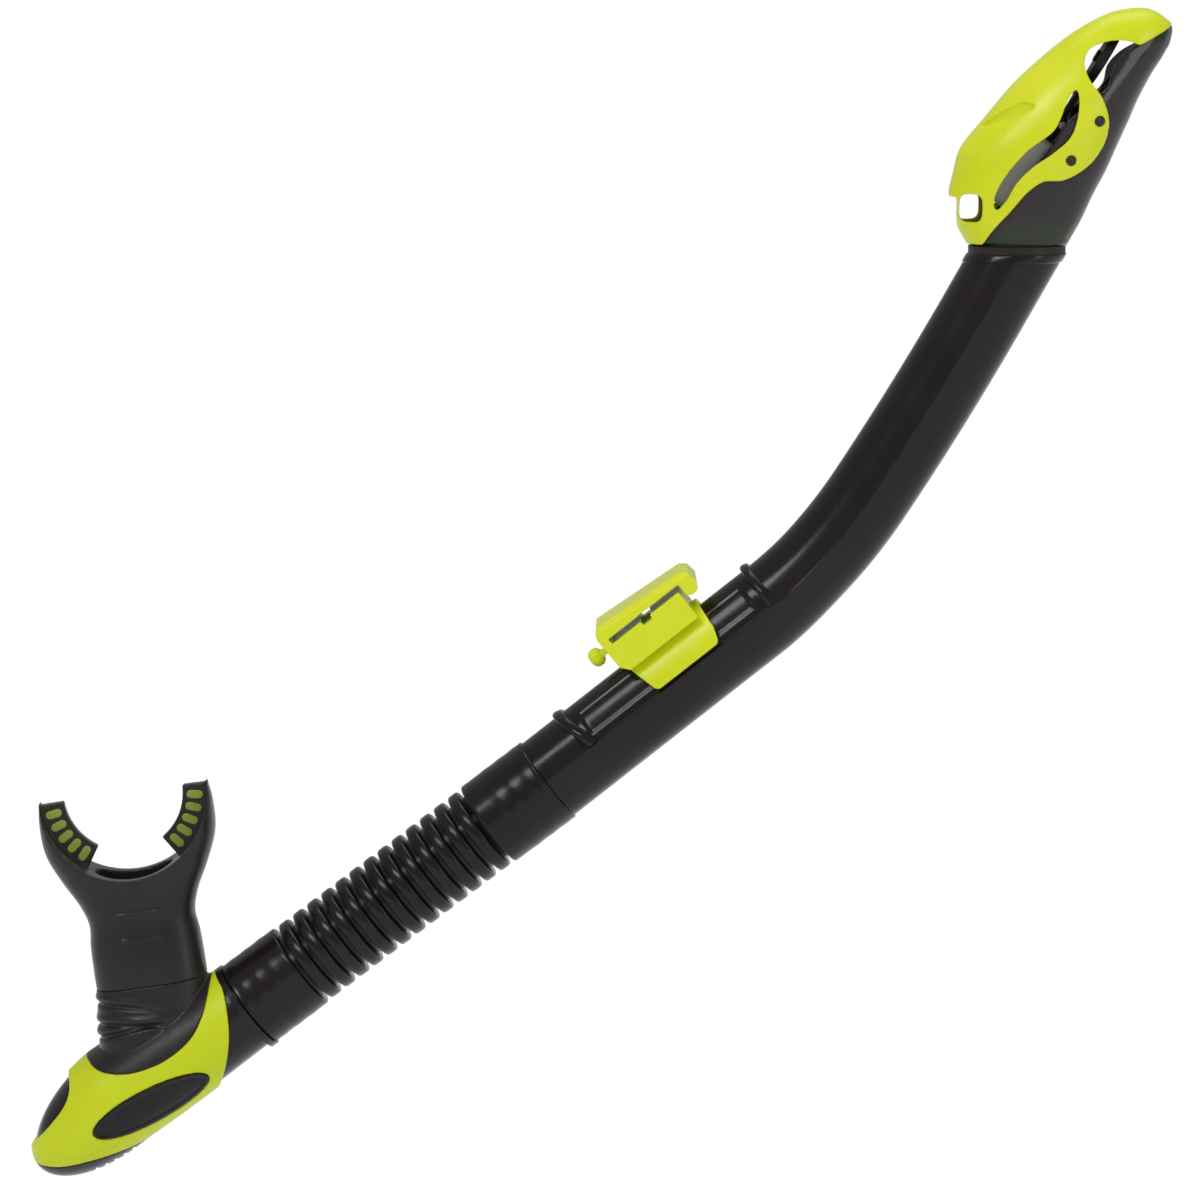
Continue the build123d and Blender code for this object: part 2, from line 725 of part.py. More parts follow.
# ------------------------------------------------------------------------------------ mouthpiece
mouth_side = side_plane(neck_foot, mouth_lean)  # x across the mouth, y towards it
# Outer oblongs: height above the foot, half width, half depth, corner share.
mouth_outline = [
    (0.0, neck_half, neck_half_depth, neck_round),
    (6.0, neck_half, neck_half_depth - 0.2, neck_round),
    (14.0, neck_half - 0.2, neck_half_depth - 0.7, neck_round),
    (21.0, neck_half - 0.8, neck_half_depth - 1.1, neck_round),
    (27.5, neck_half + 1.1, neck_half_depth - 0.6, 0.85),
    (36.0, neck_half + 5.5, lip_half_depth - 2.4, 0.8),
    (45.5, neck_half + 9.4, lip_half_depth - 0.4, 0.75),
    (54.7, neck_half + 10.1, lip_half_depth - 2.0, 0.75),
    (lip_centre + 1.4, neck_half + 9.2, lip_half_depth * 0.5, 0.75),
]


def mouth_section(height, half_width, half_depth, share):
    """One oblong of the mouthpiece, `height` above its foot."""
    return (neck_foot + along(mouth_axis) * height, mouth_axis, half_width, half_depth, share)


mouth_solid = rounded_loft([mouth_section(*row) for row in mouth_outline])
mouth_bore = rounded_loft([
    mouth_section(-0.5, neck_half - mouth_wall, neck_half_depth - mouth_wall, neck_round),
    mouth_section(21.0, neck_half - mouth_wall - 1.2, neck_half_depth - mouth_wall - 1.1, neck_round),
    mouth_section(lip_centre - 20.0, mouth_bore_half, neck_half_depth - mouth_wall - 1.4, neck_round),
])
lip_place = mouth_side.from_local_coords(Vector(0, lip_centre, 0))
tab_side = side_plane(lip_place, mouth_lean)


def bite_pads(sign):
    """Pads of one tab, a pill each, set radially through the tab. sign is -1 for the tab away from the hose."""
    with BuildPart() as pads:
        for index in range(pad_count):
            turn = pad_start + index * pad_step
            angle = -turn if sign > 0 else 180 + turn
            with BuildSketch(tab_side):
                with Locations(Rotation(0, 0, angle) * Location((pad_ring, 0, 0))):
                    SlotOverall(pad_length, pad_width)
            extrude(amount=bite_thick / 2 + pad_proud, both=True)
    return pads.part


pads_far = bite_pads(-1)
pads_near = bite_pads(1)
with BuildPart() as mouthpiece:
    add(mouth_solid)
    with BuildSketch(tab_side):
        Circle(lip_radius)
    extrude(amount=far, both=True, mode=Mode.SUBTRACT)
    with BuildSketch(tab_side):
        for sign in (-1, 1):
            ends = []
            for turn in (bite_start, (bite_start + bite_end) / 2, bite_end):
                angle = radians(-turn if sign > 0 else 180 + turn)
                ends.append((cos(angle), sin(angle)))
            outer = [(x * (lip_radius + 0.4), y * (lip_radius + 0.4)) for x, y in ends]
            inner = [(x * bite_inner, y * bite_inner) for x, y in ends]
            with BuildLine():
                ThreePointArc(*outer)
                Line(outer[2], inner[2])
                ThreePointArc(*inner)
                Line(inner[0], outer[0])
            make_face()
    extrude(amount=bite_thick / 2, both=True)
    add(mouth_bore, mode=Mode.SUBTRACT)
    add(pads_far, mode=Mode.SUBTRACT)
    add(pads_near, mode=Mode.SUBTRACT)
mouthpiece.part.label = "mouthpiece"
export_step(mouthpiece.part, "parts/mouthpiece.step")

with BuildPart() as bite_pads_far:
    add(pads_far)
bite_pads_far.part.label = "bite_pads_far"
export_step(bite_pads_far.part, "parts/bite_pads_far.step")

with BuildPart() as bite_pads_near:
    add(pads_near)
bite_pads_near.part.label = "bite_pads_near"
export_step(bite_pads_near.part, "parts/bite_pads_near.step")

# ------------------------------------------------------------------------------------ float valve
# Side view of the hood's skin, each row a left and a right edge from the rim's centre, with the half depth.
head_outline = [
    ((-rim_half - 0.2, seal_thick), (rim_half + 0.3, seal_thick), tube_depth / 2),
    ((-20.0, 10.6), (20.4, 10.6), 14.9),
    ((-21.9, 17.7), (24.1, 18.6), 16.0),
    ((-20.4, 26.0), (28.2, 26.4), 16.8),
    ((-18.2, 33.4), (31.4, 33.7), 17.0),
    ((-10.4, 43.2), (35.0, 41.7), 17.0),
    ((-1.7, 53.6), (37.8, 48.3), 16.0),
    ((8.1, 62.7), (41.6, 55.7), 14.2),
    ((15.2, 68.4), (43.6, 59.0), 12.7),
    ((21.5, 72.5), (45.5, 61.9), 11.0),
    ((26.8, 75.2), (46.7, 64.1), 9.8),
    ((31.3, 76.8), (47.8, 66.0), 8.5),
    ((39.9, 77.6), (48.7, 69.7), 5.4),
    ((43.6, 76.4), (48.7, 71.4), 3.4),
]
top_side = side_plane(barrel_top)  # level axes at the rim's centre


def head_loft(left_inset, right_inset, depth_inset):
    """The hood's solid form, its left edge, right edge and sides drawn in by the insets."""
    sections = []
    for left, right, half_depth in head_outline:
        across = Vector(right[0] - left[0], 0, right[1] - left[1])
        width = across.length
        middle = (left_inset - right_inset) / 2 / width + 0.5
        centre = top_side.from_local_coords(Vector(left[0], left[1], 0)) + across * middle
        lean = degrees(atan2(across.Z, across.X)) + 90
        half_width = (width - left_inset - right_inset) / 2
        if min(half_width, half_depth - depth_inset) > least_half:
            sections.append((centre, lean, half_width, half_depth - depth_inset))
    return oval_loft(sections)


hood_skin = head_loft(0.0, 0.0, 0.0)
hood_inner = head_loft(hood_thick, -hood_gap, hood_thick)  # open at the right edge, where the body shows
cheek_inset = hood_thick + hood_gap
valve_skin = head_loft(cheek_inset, 0.0, cheek_inset)
valve_inner = head_loft(cheek_inset + shell_wall, shell_wall, cheek_inset + shell_wall)
seat_fit = head_loft(cheek_inset + shell_wall + pin_gap, shell_wall + pin_gap, cheek_inset + shell_wall + pin_gap)

# The rocker's pin, and the line of the air port's seat below it.
pin_place = top_side.from_local_coords(Vector(13.7, 40.7, 0))
pin_side = side_plane(pin_place, seat_lean)  # x along the seat, y square to it, up and to the left
floor_level = barrel_top.Z + seal_thick


def level_oval(grow):
    """The barrel's rim, an oval in a level plane, `grow` larger all round."""
    with Locations((barrel_top.X, 0)):
        Ellipse(rim_half + grow, tube_depth / 2 + grow)


with BuildPart() as barrel_seal:
    with BuildSketch(Plane.XY.offset(barrel_top.Z)):
        level_oval(0.0)
    extrude(amount=seal_thick)
    add(barrel_bore, mode=Mode.SUBTRACT)
barrel_seal.part.label = "barrel_seal"
export_step(barrel_seal.part, "parts/barrel_seal.step")

# Valve body: the clear shell under the hood, with a socket that plugs into the barrel.
shell_edge = [(-12.7, 5.5), (-4.1, 15.3), (0.8, 21.9), (5.8, 28.0), (9.5, 33.6), (14.9, 42.6), (24.0, 49.6),
              (27.6, 53.4), (29.1, 59.2), (33.1, 63.7), (38.1, 66.7)]
socket_height = crown_bore_height / 2 - socket_gap
socket_depth = bore_depth / 2 - socket_gap
socket_foot = barrel_top - along(top_lean) * socket_length
with BuildPart() as socket:
    with BuildSketch(cross_plane(socket_foot, top_lean)):
        Ellipse(socket_depth, socket_height)
        Ellipse(socket_depth - socket_wall, socket_height - socket_wall, mode=Mode.SUBTRACT)
    extrude(amount=far / 2)
    split(bisect_by=Plane.XY.offset(floor_level), keep=Keep.BOTTOM)

with BuildPart() as valve_floor:
    with BuildSketch(Plane.XY.offset(floor_level)):
        level_oval(rim_band)
    extrude(amount=floor_thick)
    add(valve_skin, mode=Mode.INTERSECT)

with BuildPart() as studs:
    with BuildSketch(top_side):
        with Locations(*stud_places):
            Circle(stud_radius)
    extrude(amount=far, both=True)
    add(head_loft(-stud_proud, -stud_proud, -stud_proud), mode=Mode.INTERSECT)
    add(valve_inner, mode=Mode.SUBTRACT)

with BuildPart() as valve_body:
    with BuildSketch(top_side):
        with BuildLine():
            Polyline((62.0, seal_thick), (-30.0, seal_thick), shell_edge[0])
            Spline(*shell_edge)
            Polyline(shell_edge[-1], (50.0, 73.0), (62.0, 73.0), (62.0, seal_thick))
        make_face()
    extrude(amount=far, both=True)
    add(valve_skin, mode=Mode.INTERSECT)
    add(valve_inner, mode=Mode.SUBTRACT)
    add(valve_floor.part)
    with BuildSketch(Plane.XY.offset(floor_level)):
        with Locations((barrel_top.X, 0)):
            Ellipse((socket_height - socket_wall) / sin(radians(top_lean)), socket_depth - socket_wall)
        with Locations((barrel_top.X + port_edge - far / 2, 0)):
            Rectangle(far, far, mode=Mode.SUBTRACT)
    extrude(amount=floor_thick, mode=Mode.SUBTRACT)
    add(socket.part)
    add(studs.part)
valve_body.part.label = "valve_body"
export_step(valve_body.part, "parts/valve_body.step")

# Seat plate: closes the duct inside the body, with the air port and the lugs of the rocker's pin.
seat_points = [(-42.6, -7.4), (-4.5, -4.6), (4.0, -2.9), (6.6, seat_level), (36.5, seat_level)]
with BuildPart() as valve_seat:
    with BuildSketch(pin_side):
        with BuildLine():
            Polyline(*seat_points, *[(x, y - plate_thick) for x, y in reversed(seat_points)], close=True)
        make_face()
    extrude(amount=far, both=True)
    add(seat_fit, mode=Mode.INTERSECT)
    split(bisect_by=Plane.XY.offset(floor_level + floor_thick), keep=Keep.TOP)
    with BuildSketch(cross_plane(pin_place + along(seat_lean + 90) * seat_level, seat_lean + 90)):
        with Locations((0, -seat_reach)):
            Ellipse(port_half_width + port_rim, port_half_length + port_rim)
    extrude(amount=rim_rise)
    with BuildSketch(cross_plane(pin_place, seat_lean + 90)):
        with Locations((0, -seat_reach)):
            Ellipse(port_half_width, port_half_length)
    extrude(amount=far, both=True, mode=Mode.SUBTRACT)
    for sign in (-1, 1):
        with BuildSketch(pin_side.offset(sign * (hub_half + pin_side_gap + lug_thick / 2))):
            Circle(lug_radius)
            with Locations((0, seat_level - 0.9)):
                Rectangle(2 * lug_radius, 2 * lug_radius)
        extrude(amount=lug_thick / 2, both=True)
    with BuildSketch(pin_side):
        Circle(pin_radius)
    extrude(amount=far, both=True, mode=Mode.SUBTRACT)
valve_seat.part.label = "valve_seat"
export_step(valve_seat.part, "parts/valve_seat.step")

with BuildPart() as rocker_pin:
    with BuildSketch(pin_side):
        Circle(pin_radius)
    extrude(amount=hub_half + pin_side_gap + lug_thick, both=True)
rocker_pin.part.label = "rocker_pin"
export_step(rocker_pin.part, "parts/rocker_pin.step")

# Rocker: a lever with the float below the pin and the gate above it, hanging open.
gate_lean = seat_lean + float_travel
gate_side = side_plane(pin_place, gate_lean)
float_side = side_plane(pin_place, float_lean)  # x down towards the float, y away from it to the right


def gate_plane(level):
    """Plane of the gate, `level` above the pin; y runs along the gate and z towards the seat."""
    return cross_plane(pin_place + along(gate_lean + 90) * level, gate_lean - 90)


with BuildPart() as valve_rocker:
    with BuildSketch(gate_plane(gate_foot + gate_thick)):
        with Locations((0, seat_reach)):
            Ellipse(gate_half_width, gate_half_length)
    extrude(amount=gate_thick)
    with BuildSketch(gate_side):
        Circle(hub_radius)
        with Locations((seat_reach / 2, gate_foot + gate_thick / 2)):
            Rectangle(seat_reach, gate_thick)
    extrude(amount=arm_half, both=True)
    with BuildSketch(float_side):
        with Locations((float_arm / 2, 0)):
            Rectangle(float_arm, arm_thick)
    extrude(amount=arm_half, both=True)
    with BuildSketch(gate_side):
        Circle(hub_radius)
    extrude(amount=hub_half, both=True)
    with BuildSketch(gate_side):
        Circle(pin_radius + pin_gap)
    extrude(amount=far, both=True, mode=Mode.SUBTRACT)
    with BuildSketch(gate_plane(0)):
        with Locations((0, seat_reach)):
            Circle(nub_radius)
    extrude(amount=far, both=True, mode=Mode.SUBTRACT)
valve_rocker.part.label = "valve_rocker"
export_step(valve_rocker.part, "parts/valve_rocker.step")

with BuildPart() as flap_seal:
    with BuildSketch(gate_plane(gate_foot)):
        with Locations((0, seat_reach)):
            Ellipse(gate_half_width - 0.3, gate_half_length - 0.3)
    extrude(amount=flap_thick)
    with BuildSketch(gate_plane(gate_foot)):
        with Locations((0, seat_reach)):
            Circle(nub_radius)
    extrude(amount=-gate_thick)
    with BuildSketch(gate_plane(gate_foot + gate_thick)):
        with Locations((0, seat_reach)):
            Circle(nub_radius + 0.8)
    extrude(amount=-0.8)
flap_seal.part.label = "flap_seal"
export_step(flap_seal.part, "parts/flap_seal.step")

with BuildPart() as valve_float:
    with BuildSketch(float_side):
        with BuildLine():
            Polyline(*float_outline, close=True)
        make_face()
    extrude(amount=float_half_depth, both=True)
    fillet(valve_float.edges().filter_by(lambda edge: abs(edge.center().Y) > float_half_depth - 0.01), 2.0)
    with BuildSketch(float_side):
        with Locations((float_arm / 2, 0)):
            Rectangle(float_arm, arm_thick)
    extrude(amount=arm_half, both=True, mode=Mode.SUBTRACT)
valve_float.part.label = "valve_float"
export_step(valve_float.part, "parts/valve_float.step")

# ------------------------------------------------------------------------------------ hood
chin_place = Vector(barrel_top.X - chin_reach, 0, barrel_top.Z + chin_height)
hood_edge = [(-11.4, 3.0), (-8.2, 8.0), (-3.4, 13.4), (2.7, 20.4), (7.6, 23.5), (13.7, 23.8), (22.3, 28.7),
             (27.2, 36.0), (28.1, 42.7), (25.9, 49.5), (21.7, 55.6)]
arch_edge = [(20.1, 60.5), (21.7, 64.8), (28.4, 67.5), (33.9, 67.5), (37.9, 66.1), (47.9, 71.5)]
slot_edge = [(18.3, 50.1), (17.7, 42.7), (15.5, 37.2), (10.0, 32.3), (3.9, 28.1), (-1.0, 23.2), (-4.7, 17.0),
             (-7.4, 14.4), (-8.2, 16.4), (-7.1, 20.7), (-3.4, 26.8), (2.7, 33.6), (10.3, 39.4), (12.8, 44.0),
             (14.6, 48.9), (17.4, 52.4)]
gill_edge = [(-12.0, 40.3), (-4.0, 42.4), (2.4, 45.6), (4.5, 47.3), (1.2, 48.3), (-5.0, 45.4)]

with BuildPart() as chin_cut:
    with Locations(chin_place):
        Box(far, far, far, align=(Align.MAX, Align.CENTER, Align.MAX))
with BuildPart() as hood_hollow:
    add(hood_inner)
    with Locations(chin_place + Vector(hood_thick, 0, hood_thick)):
        Box(far, far, far, align=(Align.MAX, Align.CENTER, Align.MAX), mode=Mode.SUBTRACT)
with BuildPart() as gills:
    with BuildSketch(top_side):
        with BuildLine():
            Spline(*gill_edge, gill_edge[0])
        make_face()
    extrude(amount=far, both=True)
    add(hood_skin, mode=Mode.INTERSECT)
    add(head_loft(gill_deep, gill_deep, gill_deep), mode=Mode.SUBTRACT)

with BuildPart() as hood:
    with BuildSketch(top_side):
        with BuildLine():
            Spline(*hood_edge)
            Spline(hood_edge[-1], *arch_edge)
            Polyline(arch_edge[-1], (60.0, 90.0), (-40.0, 90.0), (-40.0, hood_edge[0][1]), hood_edge[0])
        make_face()
    extrude(amount=far, both=True)
    add(hood_skin, mode=Mode.INTERSECT)
    add(chin_cut.part, mode=Mode.SUBTRACT)
    add(hood_hollow.part, mode=Mode.SUBTRACT)
    add(gills.part, mode=Mode.SUBTRACT)
    with BuildSketch(top_side):
        with BuildLine():
            Spline(*slot_edge, slot_edge[0])
        make_face()
        with Locations((-15.2, 14.8)):
            RectangleRounded(7.0, 8.9, 2.2)
        with Locations(*stud_places):
            Circle(stud_radius + stud_gap)
    extrude(amount=far, both=True, mode=Mode.SUBTRACT)
hood.part.label = "hood"
export_step(hood.part, "parts/hood.step")
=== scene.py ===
import bpy
import bmesh
from math import asin, cos, degrees, exp, pi, radians, sin, sqrt
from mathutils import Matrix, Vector


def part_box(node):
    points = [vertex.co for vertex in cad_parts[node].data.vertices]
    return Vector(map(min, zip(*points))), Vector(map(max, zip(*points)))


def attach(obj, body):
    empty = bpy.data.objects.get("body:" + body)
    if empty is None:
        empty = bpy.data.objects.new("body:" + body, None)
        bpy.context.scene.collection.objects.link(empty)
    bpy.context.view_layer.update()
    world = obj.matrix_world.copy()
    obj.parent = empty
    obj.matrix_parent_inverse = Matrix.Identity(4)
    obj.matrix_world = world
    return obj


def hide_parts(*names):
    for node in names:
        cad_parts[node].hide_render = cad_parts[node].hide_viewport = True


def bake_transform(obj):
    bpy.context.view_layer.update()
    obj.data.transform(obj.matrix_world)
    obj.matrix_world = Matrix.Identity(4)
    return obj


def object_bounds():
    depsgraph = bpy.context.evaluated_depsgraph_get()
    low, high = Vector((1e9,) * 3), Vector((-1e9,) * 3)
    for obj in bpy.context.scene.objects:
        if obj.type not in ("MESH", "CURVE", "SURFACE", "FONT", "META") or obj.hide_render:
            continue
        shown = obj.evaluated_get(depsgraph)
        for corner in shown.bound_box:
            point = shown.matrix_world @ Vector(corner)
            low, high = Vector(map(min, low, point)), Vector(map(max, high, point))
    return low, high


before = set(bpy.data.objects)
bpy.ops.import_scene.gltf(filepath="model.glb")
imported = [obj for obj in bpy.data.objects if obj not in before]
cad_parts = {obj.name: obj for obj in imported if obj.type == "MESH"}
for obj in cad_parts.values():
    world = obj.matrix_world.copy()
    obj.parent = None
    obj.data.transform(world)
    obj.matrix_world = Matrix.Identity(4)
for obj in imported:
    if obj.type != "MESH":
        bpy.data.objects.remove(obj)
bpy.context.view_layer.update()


# ---------------------------------------------------------------- barrel
# One blow-moulded oval tube in black gloss plastic, straight at the keeper's track and bent twice towards
# the hood. It has a narrower rail above two ledges, a fine moulding ridge along each side and a level rim.
MM = 0.001


class Wire:
    """A material socket that takes part in plain arithmetic."""

    def __init__(self, finish, socket):
        self.finish = finish
        self.socket = socket

    def maths(self, operation, *values):
        return self.finish.node("ShaderNodeMath", {"operation": operation}, *values)

    def __add__(self, other):
        return self.maths("ADD", self, other)

    def __sub__(self, other):
        return self.maths("SUBTRACT", self, other)

    def __rsub__(self, other):
        return self.maths("SUBTRACT", other, self)

    def __mul__(self, other):
        return self.maths("MULTIPLY", self, other)

    __radd__ = __add__
    __rmul__ = __mul__


class Finish:
    """A material built round one Principled shader."""

    def __init__(self, name, **plain):
        self.material = bpy.data.materials.new(name)
        self.material.use_nodes = True
        self.tree = self.material.node_tree
        self.shader = self.tree.nodes["Principled BSDF"]
        for socket, value in plain.items():
            self.shader.inputs[socket.replace("_", " ")].default_value = value
        self.place = self.node("ShaderNodeTexCoord", {}, output="Object")

    def node(self, kind, settings, *values, output=0, **named):
        made = self.tree.nodes.new(kind)
        for key, value in settings.items():
            setattr(made, key, value)
        sockets = list(zip(made.inputs, values))
        sockets += [(made.inputs[key.replace("_", " ")], value) for key, value in named.items()]
        for socket, value in sockets:
            if isinstance(value, Wire):
                self.tree.links.new(value.socket, socket)
            else:
                socket.default_value = value
        return Wire(self, made.outputs[output])

    def mix(self, share, first, second):
        """Colour between two colours, by share."""
        made = self.tree.nodes.new("ShaderNodeMix")
        made.data_type = "RGBA"
        for index, value in ((0, share), (6, first), (7, second)):
            if isinstance(value, Wire):
                self.tree.links.new(value.socket, made.inputs[index])
            else:
                made.inputs[index].default_value = value
        return Wire(self, made.outputs[2])

    def spread(self, value, low, high, to_low, to_high):
        """Value carried from one range to another, held at both ends."""
        return self.node("ShaderNodeMapRange", {}, value, low, high, to_low, to_high)

    def noise(self, scale, detail=3.0, stretch=None):
        place = self.place
        if stretch:
            place = self.node("ShaderNodeMapping", {}, place, Scale=stretch)
        return self.node("ShaderNodeTexNoise", {}, Vector=place, Scale=scale, Detail=detail, output="Fac")

    def feed(self, **links):
        for socket, wire in links.items():
            self.tree.links.new(wire.socket, self.shader.inputs[socket.replace("_", " ")])
        return self

    def bump(self, height, depth_mm):
        return self.feed(Normal=self.node("ShaderNodeBump", {}, Strength=1.0, Distance=depth_mm * MM,
                                          Height=height, output="Normal"))


def colour(red, painted_hood_glow, blue):
    """Linear colour from the usual 0 to 255 values."""
    shares = (value / 255 for value in (red, painted_hood_glow, blue))
    return tuple(((v + 0.055) / 1.055) ** 2.4 if v > 0.04045 else v / 12.92 for v in shares) + (1.0,)


def moulded_plastic(name, dark, light, rough, speck=0.012, **plain):
    """Gloss moulding: cloudy colour, handling haze in the gloss and a faint orange peel."""
    finish = Finish(name, Specular_IOR_Level=0.26, **plain)
    cloud = finish.noise(28.0, 4.0)
    haze = finish.noise(90.0, 6.0)
    return finish.feed(
        Base_Color=finish.mix(finish.spread(cloud, 0.3, 0.75, 0.0, 1.0), dark, light),
        Roughness=finish.spread(haze, 0.3, 0.8, rough * 0.85, rough * 1.3),
    ).bump(finish.noise(700.0, 2.0), speck).material


def along(lean):
    return Vector((cos(radians(lean)), 0.0, sin(radians(lean))))


def grid_mesh(name, rings):
    """Mesh through rings of points, in millimetres, capped at its two ends."""
    count = len(rings[0])
    mesh = bpy.data.meshes.new(name)
    shape = bmesh.new()
    rows = [[shape.verts.new(Vector(point) * MM) for point in ring] for ring in rings]
    for low, high in zip(rows, rows[1:]):
        for index in range(count):
            after = (index + 1) % count
            shape.faces.new((low[index], low[after], high[after], high[index]))
    shape.faces.new(rows[0][::-1])
    shape.faces.new(rows[-1])
    bmesh.ops.remove_doubles(shape, verts=shape.verts, dist=0.00001)
    bmesh.ops.dissolve_degenerate(shape, dist=0.000005, edges=shape.edges)
    bmesh.ops.recalc_face_normals(shape, faces=shape.faces)
    shape.to_mesh(mesh)
    shape.free()
    return mesh


def piece(name, mesh, body, material, smooth):
    """Object at the origin from a mesh, riding on a body where one is named."""
    mesh.materials.clear()
    mesh.materials.append(material)
    mesh.shade_smooth()
    mesh.set_sharp_from_angle(angle=radians(smooth))
    made = bpy.data.objects.new(name, mesh)
    bpy.context.scene.collection.objects.link(made)
    if body:
        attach(made, body)
    return made


def ring(centre, lean, wide, tall, around):
    """Oval ring of points square to an axis."""
    turns = (2 * pi * k / around for k in range(around))
    return [centre + Vector((0, wide * cos(a), 0)) + along(lean + 90) * tall * sin(a) for a in turns]


# Sizes in millimetres and degrees, as all of them are from here on.
tube_lean, tube_half, tube_side = 38.3, 14.2, 13.0
crown_half = 13.5
foot = Vector((-32.212, 0.0, -56.021))
straight, bend, crown, neck = 84.0, 54.0, 69.8, 20.6
bend_turn, crown_turn = 18.2, 4.0
top_lean = tube_lean + bend_turn + crown_turn
ridge_proud, ridge_turn = 0.32, 2.0
rail_panel = 0.7      # depth of the shallow panel in each side of the rail
past_top = 40.0       # the neck's axis goes on this far, for what stands on the barrel


def barrel_station(distance):
    """Centre and lean of the barrel, by the distance from its foot."""
    point, lean, left = foot.copy(), tube_lean, distance
    for length, turn in ((straight, 0.0), (bend, bend_turn), (crown, crown_turn), (neck + past_top, 0.0)):
        step = min(left, length)
        swing = turn * step / length
        half = radians(swing) / 2
        point += along(lean + swing / 2) * (step * (sin(half) / half if half else 1.0))
        lean += swing
        left -= step
    return point, lean


barrel_length = straight + bend + crown + neck
barrel_top, _ = barrel_station(barrel_length)
ledge_rise, rail_side = 1.4, 11.7
strap_place = 60.0   # distance from the foot to below the strap slot
rail_from, rail_to = strap_place - 44.1, strap_place + 30.0


def step_between(value, low, high):
    """Smooth step from 0 at low to 1 at high."""
    share = min(1.0, max(0.0, (value - low) / (high - low)))
    return share * share * (3 - 2 * share)


def barrel_ring(distance, level=0.0, grow=0.0, drop=0.0):
    """Ring of the barrel; level 1 lays it flat as the rim is, `grow` swells it."""
    centre, lean = barrel_station(distance - drop)
    axis, up = along(lean), along(lean + 90)
    slim = step_between(distance, straight, straight + bend * 0.5)
    half = tube_half + (crown_half - tube_half) * slim + grow
    rail = rail_from <= distance <= rail_to
    ledge = degrees(asin(ledge_rise / half))
    near_ridge = (-4.5, -3.2, -2.2, -1.4, -0.7, 0.0, 0.7, 1.4, 2.2, 3.2, 4.5)
    turns = [n * 3.0 for n in range(120) if 5.5 < n * 3.0 % 180 < 174.5]
    turns += [side + turn for side in (0.0, 180.0) for turn in near_ridge]
    points = []
    for turn in [t % 360 for t in sorted(turns)]:
        inner = rail and ledge < turn < 180 - ledge
        width = rail_side if inner else tube_side + grow
        from_side = min(abs(turn), abs(turn - 180), abs(turn - 360))
        if inner:
            climb = turn if turn < 90 else 180 - turn
            dip = step_between(climb, 14, 19) * (1 - step_between(climb, 50, 55))
            dip *= step_between(distance, rail_from + 4, rail_from + 6)
            dip *= 1 - step_between(distance, rail_to - 4, rail_to - 2.5)
            width -= rail_panel * dip
        ridge = ridge_proud * exp(-(from_side / ridge_turn) ** 2)
        ridge *= step_between(distance, rail_to + 4, rail_to + 9)
        ridge *= 1 - step_between(distance, barrel_length - 26, barrel_length - 16)
        across = (width + ridge) * cos(radians(turn))
        rise = half * sin(radians(turn))
        shift = -rise * cos(radians(lean)) / sin(radians(lean)) * level
        points.append(centre + Vector((0, 1, 0)) * across + up * rise + axis * shift)
    return points


stops = [0.0, 4.0, 8.0, 12.0]
stops += [rail_from - 0.02, rail_from]
stops += [rail_from + 0.5 * n for n in range(1, 18)] + [rail_from + 10 + 6 * n for n in range(9)]
stops += [rail_to - 6 + 0.5 * n for n in range(12)] + [rail_to, rail_to + 0.02]
stops += [rail_to + 3 + 2.0 * n for n in range(int((barrel_length - neck - rail_to - 3) / 2))]
rings = [barrel_ring(s) for s in sorted(stops)]
for share in (0.0, 0.2, 0.4, 0.6, 0.8, 1.0):
    rings.append(barrel_ring(barrel_length - neck + share * (neck - 5), level=share))
rim_rise, rim_proud, mouth_wall, mouth_depth = 3.2, 0.4, 2.1, 6.0
for drop, grow in ((rim_rise + 0.5, 0.0), (rim_rise + 0.1, 0.0), (rim_rise, 0.1), (rim_rise - 0.3, rim_proud),
                   (0.5, rim_proud), (0.15, rim_proud - 0.1), (0.0, 0.05), (0.0, -0.6),
                   (0.0, 0.1 - mouth_wall), (0.2, -mouth_wall), (mouth_depth, -mouth_wall)):
    rings.append(barrel_ring(barrel_length, level=1.0, grow=grow, drop=drop))
barrel_black = moulded_plastic("barrel_black", colour(22, 18, 17), colour(31, 26, 25), 0.17)
barrel_piece = piece("barrel_shell", grid_mesh("barrel_shell", rings), "barrel", barrel_black, 40)
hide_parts("barrel")


def collar(name, place_at, thick, proud):
    """Half ring over the rail with a rounded profile; `place_at` gives its foot for a rise."""
    bars = []
    profile = [(-0.5, -0.9), (-0.5, 0.5), (-0.42, 0.85), (-0.25, 1.0), (0.05, 1.02), (0.2, 0.82), (0.36, 0.8),
               (0.46, 0.55), (0.5, 0.2), (0.5, -0.9)]
    ledge = degrees(asin(ledge_rise / tube_half))
    for n in range(61):
        turn = ledge + (180 - 2 * ledge) * n / 60
        rise = sin(radians(turn))
        fade = 0.55 + 0.45 * step_between(tube_half * rise, ledge_rise, ledge_rise + 5)
        bar = []
        for run, out in profile:
            swell = proud * out * fade
            centre, lean = barrel_station(place_at(tube_half * rise) + thick * (0.5 + run))
            bar.append(centre + Vector((0, (tube_side - 0.2 + swell) * cos(radians(turn)), 0))
                       + along(lean + 90) * (tube_half + swell) * rise)
        bars.append(bar)
    piece(name, grid_mesh(name, bars), "barrel", barrel_black, 50)


collar_proud, low_thick, high_thick = 1.5, 3.6, 3.4
low_place = strap_place - 38.6 - low_thick
low_rake, low_rise = 5.5, 15.8   # the low collar leans back by its rake over this rise
collar("low_collar", lambda rise: low_place - low_rake * max(0.0, rise - ledge_rise) / low_rise,
       low_thick, collar_proud)
collar("high_collar", lambda rise: rail_to + 0.4, high_thick, collar_proud)
